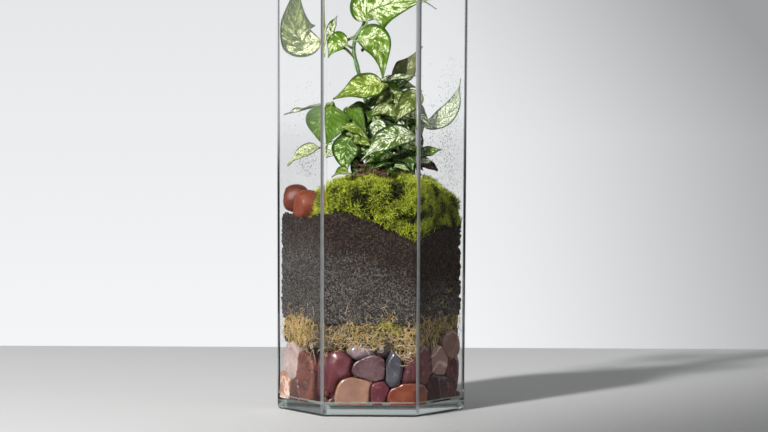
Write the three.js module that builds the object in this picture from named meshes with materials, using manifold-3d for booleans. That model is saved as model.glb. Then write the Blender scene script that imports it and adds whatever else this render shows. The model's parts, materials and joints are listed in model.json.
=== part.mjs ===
// A planted glass vase: a tall hexagonal glass vase that holds, from the floor up, a bed of tumbled
// stones, a mat of dry sphagnum, soil, a mound of living moss, and a plant with white-splashed leaves
// on three stems.
//
// Millimetres, +Z up. The origin is on the surface that the vase stands on, on its upright axis. One
// flat side of the vase faces -Y, and two of its upright edges lie on the X axis.

import * as THREE from 'three';
import { mergeVertices } from 'three/addons/utils/BufferGeometryUtils.js';
import Module from 'manifold-3d';

const wasm = await Module();
wasm.setup();

// ------------------------------------------------------------------------------------------ dimensions

// Two pieces that touch are drawn this far apart.
const GAP = 0.3;

const VASE = {
  sides: 6,
  height: 300,
  footRadius: 59, // from the axis to an upright edge, at the foot
  flare: 0.0043, // growth of that radius for each millimetre of height
  wall: 2.5,
  floor: 7, // thickness of the glass under the stones
  edgeRound: 2, // rounding of the upright edges outside
  innerRound: 1.2, // and inside
  footRound: 2.2,
  rimRound: 0.8,
};

// What fills the vase stays this far from the glass.
const FILL_CLEARANCE = 0.35;

const MAT_BOTTOM = 41;
const MAT_TOP = 56;
const SOIL_TOP = 121;
const MOSS_CREST = 144;

// --------------------------------------------------------------------------------------------- colours

const surface = (color, roughness, extra = {}) =>
  new THREE.MeshStandardMaterial({ color, roughness, metalness: 0, ...extra });

const GLASS = surface(0xdfeeea, 0.05, { transparent: true, opacity: 0.35 });
const SPHAGNUM = surface(0xb3935a, 0.95);
const SOIL = surface(0x2b2422, 1);
const MOSS = surface(0x7f9a1c, 0.95);
const ROOTS = surface(0x5a4030, 1);
const STEM = surface(0x6f8a4a, 0.6);
const LEAF = surface(0x8faf6a, 0.55);

// --------------------------------------------------------------------------------------- solid helpers

// Six times the volume inside a closed surface of triangles, negative where it faces inwards.
function signedVolume(points, faces) {
  let sum = 0;
  const cross = new THREE.Vector3();
  for (let f = 0; f < faces.length; f += 3) {
    const [a, b, c] = [points[faces[f]], points[faces[f + 1]], points[faces[f + 2]]];
    sum += a.dot(cross.crossVectors(b, c));
  }
  return sum;
}

// A geometry from points and triangles, turned to face outwards.
function closedGeometry(points, faces) {
  const order = signedVolume(points, faces) < 0 ? faces.slice().reverse() : faces;
  const geometry = new THREE.BufferGeometry();
  const coordinates = points.flatMap((point) => point.toArray());
  geometry.setAttribute('position', new THREE.Float32BufferAttribute(coordinates, 3));
  geometry.setIndex(order);
  return geometry;
}

// The closed skin over a row of rings of equally many points, with a fan at each end.
function loft(rings) {
  const around = rings[0].length;
  const points = rings.flat();
  const faces = [];
  const next = (i) => (i + 1) % around;
  for (let k = 0; k + 1 < rings.length; k += 1) {
    for (let i = 0; i < around; i += 1) {
      const [a, b] = [k * around + i, k * around + next(i)];
      faces.push(a, b, b + around, a, b + around, a + around);
    }
  }
  const middle = (ring) => ring.reduce((sum, p) => sum.add(p), new THREE.Vector3()).divideScalar(around);
  const [first, last] = [points.length, points.length + 1];
  const lastStart = (rings.length - 1) * around;
  points.push(middle(rings[0]), middle(rings.at(-1)));
  for (let i = 0; i < around; i += 1) {
    faces.push(first, next(i), i);
    faces.push(last, lastStart + i, lastStart + next(i));
  }
  return closedGeometry(points, faces);
}

function toSolid(geometry) {
  const bare = geometry.clone();
  bare.deleteAttribute('normal');
  bare.deleteAttribute('uv');
  const merged = mergeVertices(bare);
  return new wasm.Manifold(new wasm.Mesh({
    numProp: 3,
    vertProperties: new Float32Array(merged.attributes.position.array),
    triVerts: new Uint32Array(merged.index.array),
  }));
}

// The largest single body of a solid, as a geometry.
function toGeometry(solid) {
  const bodies = solid.decompose();
  const body = bodies.reduce((best, one) => (one.volume() > best.volume() ? one : best));
  const mesh = body.getMesh();
  const geometry = new THREE.BufferGeometry();
  geometry.setAttribute('position', new THREE.Float32BufferAttribute(mesh.vertProperties, 3));
  geometry.setIndex(Array.from(mesh.triVerts));
  return geometry;
}

const cutAway = (solid, others) => others.reduce((rest, other) => rest.subtract(other), solid);

// A mesh whose own origin is at the given point, from a geometry drawn in the vase's frame.
function placed(name, geometry, material, origin = new THREE.Vector3()) {
  geometry.translate(-origin.x, -origin.y, -origin.z);
  const mesh = new THREE.Mesh(geometry, material);
  mesh.name = name;
  mesh.position.copy(origin);
  return mesh;
}

// ------------------------------------------------------------------------------------------------ vase

const HALF_SIDE = Math.PI / VASE.sides;

// The distance from the axis to a flat side of the glass, outside, at a height.
const flatDistance = (z) => (VASE.footRadius + VASE.flare * z) * Math.cos(HALF_SIDE);

// A level outline with rounded corners. Its sides lie `inset` inside the glass's outer face at height z.
function outline(z, inset, round, stepsPerCorner) {
  const ring = [];
  const flat = flatDistance(z) - inset;
  const centreDistance = (flat - round) / Math.cos(HALF_SIDE);
  for (let side = 0; side < VASE.sides; side += 1) {
    const corner = side * 2 * HALF_SIDE;
    for (let step = 0; step <= stepsPerCorner; step += 1) {
      const angle = corner + HALF_SIDE * ((2 * step) / stepsPerCorner - 1);
      ring.push(new THREE.Vector3(
        centreDistance * Math.cos(corner) + round * Math.cos(angle),
        centreDistance * Math.sin(corner) + round * Math.sin(angle),
        z,
      ));
    }
  }
  return ring;
}

// Moulded glass: a thick floor, six flat walls that flare a little, and a fire-polished open rim.
function vaseGeometry() {
  const steps = 4;
  const outer = (z, inset = 0) => outline(z, inset, VASE.edgeRound, steps);
  const inner = (z, inset = 0) => outline(z, VASE.wall + inset, VASE.innerRound, steps);
  const soft = (round, turn) => round * (1 - Math.sin(turn));
  const eighth = Math.PI / 4;
  return loft([
    outer(0, VASE.footRound),
    outer(soft(VASE.footRound, eighth), soft(VASE.footRound, eighth)),
    outer(VASE.footRound),
    outer(VASE.height - VASE.rimRound),
    outer(VASE.height, VASE.rimRound),
    inner(VASE.height, -VASE.rimRound),
    inner(VASE.height - VASE.rimRound),
    inner(VASE.floor + VASE.footRound),
    inner(VASE.floor, VASE.footRound),
  ]);
}

// The room inside the glass for what fills it.
function cavitySolid() {
  const inset = VASE.wall + FILL_CLEARANCE;
  return toSolid(loft([
    outline(VASE.floor + GAP, inset + VASE.footRound, VASE.innerRound, 2),
    outline(VASE.floor + GAP + VASE.footRound, inset, VASE.innerRound, 2),
    outline(VASE.height, inset, VASE.innerRound, 2),
  ]));
}

// ---------------------------------------------------------------------------------------------- stones

// Tumbled stones. Each has its middle, its half lengths before it is turned, its turns about X, Y and Z
// in degrees, and its colour. The front ones come first, and keep their whole shape where two would meet.
const DRAINAGE_STONES = [
  ['stone_ochre', [-8.5, -41.6, 15.8], [12, 6.6, 7.6], [0, -14, 4], 0xb98a6a],
  ['stone_orange_low', [20.5, -41.8, 12.8], [12, 6.4, 5.4], [0, 3, -3], 0xb8452a],
  ['stone_crimson', [5.6, -42.4, 14.6], [5.2, 5.8, 6.8], [0, 8, 0], 0x8c2a35],
  ['stone_grey_sliver', [14.6, -43, 27.4], [3.9, 5.4, 14], [0, 8, 0], 0x6c7180],
  ['stone_mauve_long', [0.4, -42.4, 28.4], [10.6, 5.8, 6.4], [0, 10, 0], 0x8a6468],
  ['stone_mauve_tall', [-18.6, -33, 25.6], [9.2, 12, 17.6], [4, 4, 6], 0x7d3a41],
  ['stone_red_tall', [24.6, -34.5, 29.4], [8.4, 9.4, 15.4], [0, -5, -8], 0x8f3f3c],
  ['stone_dark_flat', [-5.5, -34, 40], [12, 10, 5.2], [0, 8, 5], 0x5d5058],
  ['stone_slate', [10.5, -33.5, 40.8], [10, 9.5, 6.6], [0, -6, 8], 0x4f5261],
  ['stone_red_brown', [-36.8, -25.6, 21.6], [8.4, 8.6, 13.8], [6, 4, 30], 0x93462f],
  ['stone_pale', [-45.6, -10, 30.4], [5.6, 9.4, 9.4], [8, 0, -24], 0xb9a7a2],
  ['stone_cream_small', [-49.2, -3.4, 14.4], [5, 6.6, 6.6], [0, 0, -20], 0xc49a78],
  ['stone_brown_small', [-43.6, -14.6, 13.8], [4.8, 5.4, 6.4], [0, 0, 30], 0x4e2a20],
  ['stone_maroon_big', [38.2, -21.4, 15.8], [14.2, 10, 8.4], [0, 0, 58], 0x3d1b20],
  ['stone_mauve_rimmed', [38.6, -22.8, 31.6], [9.4, 7.6, 7.8], [0, 6, 58], 0x86606a],
  ['stone_maroon_small', [46, -9.4, 27.4], [7.4, 6.6, 6.4], [0, 0, 58], 0x4a1d22],
  ['stone_brown_grey', [45.6, -9.6, 40.2], [8.6, 6.8, 6.6], [0, 0, 60], 0x75625c],
  ['stone_back_a', [-37.2, 8.6, 21.6], [12.6, 12.2, 14.4], [6, 4, 20], 0x8e5146],
  ['stone_back_b', [-12.4, 6.8, 22.4], [13, 12.8, 15.2], [-8, 5, 10], 0x9d6a58],
  ['stone_back_c', [13.2, 7.4, 21.4], [13, 12.8, 14.2], [5, -9, 35], 0x6d5a5c],
  ['stone_back_d', [37.6, 8.4, 22.8], [12.4, 12, 15.4], [8, 2, -18], 0x7b3330],
  ['stone_back_e', [-20.4, 33.4, 22], [13.8, 13, 14.8], [4, 10, 15], 0xa98674],
  ['stone_back_f', [7.8, 34.8, 23], [14, 12.4, 15.6], [0, -8, -12], 0x8b3f36],
  ['stone_back_g', [31, 29.4, 19.4], [10.4, 9.6, 12], [5, 5, 30], 0x65555e],
  ['stone_middle', [3.4, -16.4, 20.6], [14.2, 10.6, 13.4], [0, 6, 4], 0x7c4a44],
];

// Stones that lie on the soil beside the moss.
const TOP_STONES = [
  ['carnelian_front', [-39.4, -17.6, 128.4], [8.4, 7.6, 8.8], [10, -12, 30], 0xb4563c],
  ['carnelian_back', [-46.4, -1.6, 132.2], [7.4, 7.4, 7.8], [0, 10, 0], 0x9c5140],
];

// A tumbled stone grown by `extra` all round: a rounded block, with lumps that differ from stone to stone.
function stoneSolid([name, middle, half, turns], extra) {
  const geometry = new THREE.IcosahedronGeometry(1, 2);
  const position = geometry.attributes.position;
  const phase = name.length + middle[0];
  const squareness = 0.86;
  const soften = (value) => Math.sign(value) * Math.abs(value) ** squareness;
  const point = new THREE.Vector3();
  for (let i = 0; i < position.count; i += 1) {
    point.fromBufferAttribute(position, i);
    const lumps = 1 + 0.05 * Math.sin(3 * point.x + phase)
      + 0.05 * Math.sin(2.6 * point.y - 2 * phase)
      + 0.04 * Math.sin(3.4 * point.z + 3 * phase);
    point.set(soften(point.x), soften(point.y), soften(point.z)).multiplyScalar(lumps);
    point.set(point.x * (half[0] + extra), point.y * (half[1] + extra), point.z * (half[2] + extra));
    position.setXYZ(i, point.x, point.y, point.z);
  }
  const turn = new THREE.Euler(...turns.map(THREE.MathUtils.degToRad));
  geometry.applyMatrix4(new THREE.Matrix4().makeRotationFromEuler(turn));
  geometry.translate(...middle);
  return toSolid(geometry);
}

// Stones in a pile: each is cut back from the ones before it, so that they touch and never cross.
function stonePile(stones, room) {
  const taken = [];
  return stones.map((stone) => {
    const [name, middle, , , color] = stone;
    const solid = cutAway(stoneSolid(stone, 0).intersect(room), taken);
    const grown = stoneSolid(stone, GAP);
    taken.push(grown);
    const mesh = placed(name, toGeometry(solid), surface(color, 0.25), new THREE.Vector3(...middle));
    return { mesh, grown };
  });
}

// ------------------------------------------------------------------- layers above the stones, and moss

const bump = (x, y, centreX, centreY, width, depth) =>
  Math.exp(-(((x - centreX) / width) ** 2) - (((y - centreY) / depth) ** 2));

const ripple = (x, y, size, height) =>
  height * (Math.sin(x / size + 1.3) * Math.cos(y / size) + 0.6 * Math.sin((x + 1.7 * y) / (0.6 * size)));

const matBottom = (x, y) => MAT_BOTTOM + ripple(x, y, 9, 1.2) - 6 * bump(x, y, 0, 14, 34, 26);
const matTop = (x, y) => MAT_TOP + ripple(x, y, 11, 1.4)
  + 4 * bump(x, y, -46, -12, 10, 26)
  + 3 * bump(x, y, 46, -12, 12, 30);
const soilTop = (x, y) => SOIL_TOP + ripple(x, y, 10, 0.9)
  - 15 * bump(x, y, 28, -48, 20, 26)
  + 3 * bump(x, y, -18, -48, 12, 20)
  - 7 * bump(x, y, 54, -10, 14, 30);
const mossTop = (x, y) => {
  const reach = Math.min(1, ((x - 10) / 57) ** 2 + ((y - 4) / 84) ** 2);
  const foot = SOIL_TOP - 2;
  return foot + (MOSS_CREST - foot) * (1 - reach) ** 0.42 + ripple(x, y, 8, 1.2);
};

// A level slab that fills an outline, between a lower and an upper height function.
function slab(border, centre, lower, upper) {
  const scales = [0.15, 0.43, 0.72, 1];
  const sheet = (height) => scales.map((scale) => border.map((p) => {
    const [x, y] = [centre.x + (p.x - centre.x) * scale, centre.y + (p.y - centre.y) * scale];
    return new THREE.Vector3(x, y, height(x, y));
  }));
  return loft([...sheet(lower), ...sheet(upper).reverse()]);
}

// The outline of the room inside the glass at a height, with the straight sides divided.
function fillBorder(z) {
  const corners = outline(z, VASE.wall + FILL_CLEARANCE, VASE.innerRound, 1);
  const perSide = 5;
  return corners.flatMap((corner, i) => {
    const following = corners[(i + 1) % corners.length];
    const straight = corner.distanceTo(following) > 4 * VASE.innerRound;
    const steps = straight ? perSide : 1;
    return Array.from({ length: steps }, (_, step) => corner.clone().lerp(following, step / steps));
  });
}

// The moss reaches the glass on the right and stops short of the stones on the left.
const MOSS_MIDDLE = new THREE.Vector3(12, 1, 0);

function mossBorder() {
  const steps = 30;
  return Array.from({ length: steps }, (_, step) => {
    const angle = (2 * Math.PI * step) / steps;
    const radius = 51 + 4 * Math.cos(2 * angle) + 2 * Math.sin(5 * angle);
    return MOSS_MIDDLE.clone().add(new THREE.Vector3(radius * Math.cos(angle), radius * Math.sin(angle), 0));
  });
}

// ----------------------------------------------------------------------------- roots, stems and leaves

const ROOT_BALL = ['root_ball', [7.5, 0, 117.5], [17, 16, 16], [0, 0, 20], 0x5a4030];
const STEM_RADIUS = 1.25;
const STEM_SIDES = 8;

// Each stem climbs from the root ball through these points.
const STEMS = {
  main: [
    [7, 0, 129], [5, 1, 150], [2, 2, 168], [-3, 2, 190],
    [-9.6, 1, 216], [-12.4, 1, 230], [-5.4, 2, 240], [-3.4, 4, 247],
  ],
  right: [[12, 3, 128], [17, 4, 150], [20, 4, 168], [22, 4, 186], [23, 6, 202]],
  left: [[2.5, -3, 128], [-4, -2, 148], [-13, 0, 166], [-21, 1, 184], [-25, 2, 192]],
};

const stemCurve = (points) => new THREE.CatmullRomCurve3(points.map((p) => new THREE.Vector3(...p)));

// A round rod along a curve.
function rod(curve, radius, sides, steps) {
  const frames = curve.computeFrenetFrames(steps, false);
  return loft(Array.from({ length: steps + 1 }, (_, k) => {
    const centre = curve.getPointAt(k / steps);
    return Array.from({ length: sides }, (__, i) => {
      const angle = (2 * Math.PI * i) / sides;
      return centre.clone()
        .addScaledVector(frames.normals[k], radius * Math.cos(angle))
        .addScaledVector(frames.binormals[k], radius * Math.sin(angle));
    });
  }));
}

const LEAF_THICKNESS = 0.6;
const PETIOLE_RADIUS = 0.8;

// Leaves, from the crown down. Each has its stem and the share of the stem's length where its stalk
// leaves it, then the blade's base, the point that its midrib bends towards, its tip, its half width,
// the way its upper face looks, and how far each half folds up from the midrib, in degrees.
const LEAVES = [
  ['crown', 'main', 1, [4, 9, 256], [14, 10, 268], [39, 4, 251], 6.5, [0, -0.6, 1], 14],
  ['top', 'main', 0.93, [-3.6, -3, 244], [-5, -6, 260], [34, -8, 267], 12.5, [0.1, -1, 0.2], 8],
  ['big_left', 'main', 0.76, [-32, -2, 231.6], [-50, -2, 227], [-43.5, -1, 268], 11.6, [0, -1, 0.25], 12],
  ['curled', 'main', 0.88, [-27, 6, 231], [-26, 7, 240], [-22, 8, 247], 3.4, [-0.5, -1, 0.2], 28],
  ['small_left', 'main', 0.81, [-16, -3, 228.6], [-22, -6, 233.6], [-27.4, -7.4, 221], 7, [0, -0.9, 0.6], 16],
  ['arching', 'main', 0.855, [-8, -5, 233], [4, -10, 241], [8, -15, 207], 10, [0.3, -1, 0.4], 12],
  ['yellow_green', 'main', 0.55, [8, -12, 203.6], [-5, -18, 204], [-24, -20, 194], 8.8, [0, -1, 0.5], 10],
  ['upper_right', 'right', 1, [14, 8, 206], [24, 7, 210], [31, 4, 228], 8, [-0.3, -1, 0.3], 20],
  ['dark_tip', 'right', 0.97, [8, 2, 199], [18, -1, 204], [29, -3, 201.6], 6, [0, -0.8, 0.9], 18],
  ['olive', 'right', 0.85, [23, -8, 190.2], [11, -12, 195.4], [-1, -14, 183], 10.2, [0, -1, 0.35], 14],
  ['brown_olive', 'right', 0.92, [29, -9, 199], [22, -21, 193], [15, -25, 180], 6.6, [0.4, -1, 0.4], 12],
  ['long_right', 'right', 0.6, [31, -1, 178], [51.4, -1, 180], [54.2, -0.4, 208], 6.4, [-0.2, -1, 0.2], 12],
  ['level_left', 'left', 1, [-31, 4, 191], [-42, 4, 188.6], [-54, 1, 184.6], 6.4, [0, -0.12, 1], 6],
  ['round', 'left', 0.97, [-25, -9, 190.5], [-28, -11.5, 178], [-29, -12, 165], 13, [0, -1, 0.15], 10],
  ['low_left', 'left', 0.72, [-31, -10, 164], [-43, -12, 162], [-51, -6, 152.4], 5.2, [0, -0.7, 0.8], 24],
  ['cream', 'left', 0.6, [-20, -15.6, 167], [-24, -17.4, 163.6], [-28.6, -18, 157.4], 4.8, [0, -1, 0.5], 14],
  ['dotted', 'left', 0.5, [-12.6, -18, 170], [-19, -24, 163], [-14.6, -26, 147.8], 8.6, [0, -1, 0.3], 12],
  ['near_moss', 'left', 0.36, [-12, -31, 148], [-17, -36, 151.6], [-24, -37, 146], 4.6, [0, -0.6, 1], 16],
  ['small_centre', 'right', 0.63, [2, -18, 181], [5, -22, 177], [6.4, -25, 162], 5.6, [0, -1, 0.3], 14],
  ['dark_centre', 'main', 0.46, [-3, -5, 190], [-8, -9, 187], [-9.4, -11, 170], 8.2, [0, -1, 0.4], 12],
  ['cream_wide', 'right', 0.55, [27, -20, 171], [13, -29, 176], [-6.6, -32, 156], 9, [0, -0.9, 0.7], 12],
  ['pointed_right', 'right', 0.42, [24, -9, 157], [33, -10, 162], [43, -9, 163], 5.6, [0, -0.7, 0.9], 16],
  ['dark_low', 'main', 0.15, [11, -17, 159], [5, -22, 158], [-4, -26, 149.4], 8.2, [0, -0.8, 0.8], 10],
  ['dark_right', 'right', 0.3, [18, -12, 160], [22, -20, 162], [26, -30, 149.6], 9.4, [0, -0.8, 0.7], 10],
  ['old_right', 'right', 0.2, [26, 0, 152], [33, -3, 155], [40, -8, 150], 6.2, [0, -0.6, 1], 14],
];

// The half width of a blade at a share of its length: broad near the base, drawn out to the tip.
const bladeWidth = (share) => Math.sin(Math.PI * share ** 0.72) ** 0.85;

// One leaf: a thin stalk from the stem's middle to the blade's base, and a blade folded along its midrib.
function leafSolid([, stemName, along, base, bend, tip, halfWidth, facing, fold], curves) {
  const start = curves[stemName].getPointAt(along);
  const [baseAt, bendAt, tipAt] = [base, bend, tip].map((p) => new THREE.Vector3(...p));
  const lead = baseAt.clone().sub(bendAt).setLength(0.35 * baseAt.distanceTo(start)).add(baseAt);
  const stalk = new THREE.QuadraticBezierCurve3(start, lead, baseAt);
  const midrib = new THREE.QuadraticBezierCurve3(baseAt, bendAt, tipAt);
  const upper = new THREE.Vector3(...facing).normalize();
  const section = (centre, tangent, width, rise, edge, spine) => {
    const normal = upper.clone().addScaledVector(tangent, -upper.dot(tangent)).normalize();
    const side = tangent.clone().cross(normal);
    const at = (across, up) => centre.clone().addScaledVector(side, across).addScaledVector(normal, up);
    return [at(-width, rise + edge), at(0, spine), at(width, rise + edge),
      at(width, rise - edge), at(0, -spine), at(-width, rise - edge)];
  };
  const round = [0.85 * PETIOLE_RADIUS, 0, 0.5 * PETIOLE_RADIUS, PETIOLE_RADIUS];
  const stalkSections = [0, 0.35, 0.7].map((share) =>
    section(stalk.getPoint(share), stalk.getTangent(share), ...round));
  const bladeShares = [0.02, 0.12, 0.27, 0.42, 0.57, 0.72, 0.86, 0.97];
  const half = LEAF_THICKNESS / 2;
  const bladeSections = bladeShares.map((share) => {
    const width = Math.max(PETIOLE_RADIUS / 2, halfWidth * bladeWidth(share));
    const rise = width * Math.tan(THREE.MathUtils.degToRad(fold));
    return section(midrib.getPoint(share), midrib.getTangent(share), width, rise, 0.8 * half, half);
  });
  return toSolid(loft([...stalkSections, ...bladeSections]));
}

// -------------------------------------------------------------------------------------------- assembly

const terrarium = new THREE.Group();
terrarium.name = 'terrarium';

const cavity = cavitySolid();
terrarium.add(placed('vase', vaseGeometry(), GLASS));

const drainage = stonePile(DRAINAGE_STONES, cavity);
const topStones = stonePile(TOP_STONES, cavity);
[...drainage, ...topStones].forEach(({ mesh }) => terrarium.add(mesh));

const stemNames = Object.keys(STEMS);
const curves = Object.fromEntries(stemNames.map((name) => [name, stemCurve(STEMS[name])]));
const stemSolid = (name, extra) => toSolid(rod(curves[name], STEM_RADIUS + extra, STEM_SIDES, 14));
const grownStems = stemNames.map((name) => stemSolid(name, GAP));
const grownRoots = stoneSolid(ROOT_BALL, GAP);

const roots = stoneSolid(ROOT_BALL, 0);
terrarium.add(placed('root_ball', toGeometry(roots), ROOTS, new THREE.Vector3(...ROOT_BALL[1])));

const middle = new THREE.Vector3();
const border = fillBorder(MAT_TOP);
const matSlab = toSolid(slab(border, middle, matBottom, matTop));
const sphagnum = cutAway(matSlab, drainage.map(({ grown }) => grown));
terrarium.add(placed('sphagnum_mat', toGeometry(sphagnum), SPHAGNUM));

const SOIL_DEPTH_IN_MAT = 3;
const soilBottom = (x, y) => matTop(x, y) - SOIL_DEPTH_IN_MAT;
const soilSlab = toSolid(slab(border, middle, soilBottom, soilTop))
  .subtract(matSlab.translate(0, 0, GAP));
const grownTopStones = topStones.map(({ grown }) => grown);
const soil = cutAway(soilSlab, [grownRoots, ...grownStems, ...grownTopStones]);
terrarium.add(placed('soil', toGeometry(soil), SOIL));

const MOSS_DEPTH_IN_SOIL = 4;
const mossBottom = (x, y) => soilTop(x, y) - MOSS_DEPTH_IN_SOIL;
const mossSlab = toSolid(slab(mossBorder(), MOSS_MIDDLE, mossBottom, mossTop)).intersect(cavity);
const underMoss = [soilSlab.translate(0, 0, GAP), grownRoots, ...grownStems, ...grownTopStones];
const moss = cutAway(mossSlab, underMoss);
terrarium.add(placed('moss_mound', toGeometry(moss), MOSS));

stemNames.forEach((name) => {
  const solid = cutAway(stemSolid(name, 0), [grownRoots]);
  terrarium.add(placed(`stem_${name}`, toGeometry(solid), STEM));
});

LEAVES.forEach((leaf) => {
  const solid = cutAway(leafSolid(leaf, curves), grownStems);
  terrarium.add(placed(`leaf_${leaf[0]}`, toGeometry(solid), LEAF));
});

export default terrarium;
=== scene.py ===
import json
import math

import bpy
import numpy as np
from mathutils import Euler, Matrix, Vector, noise
from mathutils.bvhtree import BVHTree

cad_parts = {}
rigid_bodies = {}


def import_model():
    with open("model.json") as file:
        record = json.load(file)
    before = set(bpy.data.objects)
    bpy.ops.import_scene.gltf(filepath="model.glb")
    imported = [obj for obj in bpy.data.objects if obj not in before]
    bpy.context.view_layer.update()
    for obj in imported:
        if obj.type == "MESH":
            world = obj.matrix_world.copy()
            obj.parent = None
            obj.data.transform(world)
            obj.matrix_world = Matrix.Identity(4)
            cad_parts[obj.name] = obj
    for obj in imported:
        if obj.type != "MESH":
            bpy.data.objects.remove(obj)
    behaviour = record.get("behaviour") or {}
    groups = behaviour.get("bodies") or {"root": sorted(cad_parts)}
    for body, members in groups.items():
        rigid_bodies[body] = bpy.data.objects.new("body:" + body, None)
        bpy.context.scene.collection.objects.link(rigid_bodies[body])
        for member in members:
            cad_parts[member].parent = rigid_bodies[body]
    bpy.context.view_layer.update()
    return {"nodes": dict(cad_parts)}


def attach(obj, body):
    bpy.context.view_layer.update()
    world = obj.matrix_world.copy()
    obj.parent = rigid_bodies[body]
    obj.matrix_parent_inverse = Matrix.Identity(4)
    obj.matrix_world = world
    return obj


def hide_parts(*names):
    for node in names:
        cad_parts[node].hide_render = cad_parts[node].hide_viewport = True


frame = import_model()


# ---------------------------------------------------------------- the vase
# A six-sided vase of clear moulded glass, open at the top, with a thick floor
# and softly rounded edges. It is one casting, and everything else stands in it.

MM = 0.001
HEIGHT = 300 * MM
FOOT_RADIUS = 59 * MM  # from the middle to a corner, at the foot
FOOT_FLAT = FOOT_RADIUS * math.cos(math.radians(30))  # from the middle to the outside of a wall
FLAT_LEAN = 0.0037  # how far the walls lean out, for their height
WALL = 2.5 * MM
FLOOR = 7 * MM
CORNER_ROUND, FOOT_ROUND, RIM_ROUND, INNER_ROUND = 1.3 * MM, 2.2 * MM, 0.8 * MM, 2 * MM
GROUND_EDGE, MOULDED_FLOOR = 1, 2  # the vase's second and third material slots


def take_hold(obj, mode="OBJECT"):
    """Selects one piece alone, so that the next tool works on nothing else."""
    if bpy.context.object and bpy.context.object.mode != "OBJECT":
        bpy.ops.object.mode_set(mode="OBJECT")
    bpy.ops.object.select_all(action="DESELECT")
    obj.select_set(True)
    bpy.context.view_layer.objects.active = obj
    if mode != "OBJECT":
        bpy.ops.object.mode_set(mode=mode)


def shade_round(obj):
    take_hold(obj)
    bpy.ops.object.shade_smooth()


def add_modifier(obj, kind, **settings):
    take_hold(obj)
    modifier = obj.modifiers.new(kind.lower(), kind)
    for key, value in settings.items():
        setattr(modifier, key, value)
    bpy.ops.object.modifier_apply(modifier=modifier.name)


def set_piece(obj, finish, slot, *nodes):
    """Gives a finished piece its material and its place on the body."""
    obj.data.materials.clear()
    obj.data.materials.append(finish)
    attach(obj, "root")
    if nodes:
        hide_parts(*nodes)


class Finish:
    """The nodes of a material, of a group that materials share, or of the world, written one after another."""

    SOCKETS = {"f": "NodeSocketFloat", "c": "NodeSocketColor", "v": "NodeSocketVector"}

    def __init__(self, name, kind="Material"):
        if kind == "Group":
            self.tree = bpy.data.node_groups.new(name, "ShaderNodeTree")
            self.into = self.tree.nodes.new("NodeGroupInput")
            self.out = self.tree.nodes.new("NodeGroupOutput")
            return
        self.owner = (bpy.data.worlds if kind == "World" else bpy.data.materials).new(name)
        self.owner.use_nodes = True
        self.tree = self.owner.node_tree
        self.tree.nodes.clear()
        self.out = self.tree.nodes.new("ShaderNodeOutput" + kind)

    def takes(self, name, kind, default):
        socket = self.tree.interface.new_socket(name, in_out="INPUT", socket_type=self.SOCKETS[kind])
        socket.default_value = (*default, 1) if kind == "c" else default

    def gives(self, name, kind, source):
        self.tree.interface.new_socket(name, in_out="OUTPUT", socket_type=self.SOCKETS[kind])
        self.tree.links.new(source, self.out.inputs[name])

    def feed(self, socket, value):
        if isinstance(value, bpy.types.NodeSocket):
            self.tree.links.new(value, socket)
        elif isinstance(value, (tuple, list)) and len(value) == 3 and socket.type == "RGBA":
            socket.default_value = (*value, 1)
        else:
            socket.default_value = value

    def make(self, kind, settings=(), inputs=()):
        """A new node, with its settings and with its inputs by name or number."""
        made = self.tree.nodes.new("ShaderNode" + kind)
        for key, value in dict(settings).items():
            setattr(made, key, value)
        for key, value in dict(inputs).items():
            self.feed(made.inputs[key], value)
        return made

    def node(self, kind, out=0, settings=(), **inputs):
        """One output of a new node. An input is given as Its_Name, or as _ and its number."""
        named = {int(key[1:]) if key[1:].isdigit() else key.replace("_", " "): value for key, value in inputs.items()}
        return self.make(kind, settings, named).outputs[out]

    def math(self, operation, *values):
        return self.make("Math", {"operation": operation}, enumerate(values)).outputs[0]

    def ramp(self, value, low, high, a=0.0, b=1.0):
        """Eases from a to b while value goes from low to high."""
        ends = {"Value": value, "From Min": low, "From Max": high, "To Min": a, "To Max": b}
        return self.make("MapRange", {"interpolation_type": "SMOOTHSTEP"}, ends).outputs[0]

    def window(self, value, low, high, end, gone):
        """Rises from 0 to 1 between low and high, and falls again between end and gone."""
        return self.math("MULTIPLY", self.ramp(value, low, high), self.ramp(value, end, gone, 1, 0))

    def mix(self, share, a, b, blend="MIX"):
        settings = {"data_type": "RGBA", "blend_type": blend}
        return self.make("Mix", settings, {"Factor": share, "A": a, "B": b}).outputs["Result"]

    def grey(self, value):
        return self.node("CombineColor", Red=value, Green=value, Blue=value)

    def noise(self, place, scale, detail=2.0, rough=0.5, warp=0.0):
        return self.node("TexNoise", "Fac", Vector=place, Scale=scale, Detail=detail, Roughness=rough, Distortion=warp)

    def group(self, shared, **inputs):
        """The outputs of a shared group, given this material's own values."""
        return self.make("Group", {"node_tree": shared.tree}, inputs).outputs

    def place(self, offset=(0, 0, 0)):
        """Object coordinates, slid so that like pieces don't share a pattern."""
        return self.node("Mapping", Vector=self.node("TexCoord", "Object"), Location=offset)

    def axis(self, place, letter):
        return self.node("SeparateXYZ", letter, Vector=place)

    def bump(self, height, distance, strength=1.0):
        return self.node("Bump", Height=height, Distance=distance, Strength=strength)

    def shader(self, **inputs):
        return self.node("BsdfPrincipled", **inputs)

    def blend(self, share, first, second):
        """Two shaders mixed, with this share of the second."""
        return self.node("MixShader", _0=share, _1=first, _2=second)

    def lit_through(self, solid, tint):
        """Glass or water as the eye sees it, which the light of the lamps and the room goes straight through."""
        path = self.make("LightPath").outputs
        passing = self.math("MAXIMUM", path["Is Shadow Ray"], path["Is Diffuse Ray"])
        return self.blend(passing, solid, self.node("BsdfTransparent", Color=tint))

    def close(self, shader):
        self.tree.links.new(shader, self.out.inputs["Surface"])
        return self.owner


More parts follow.
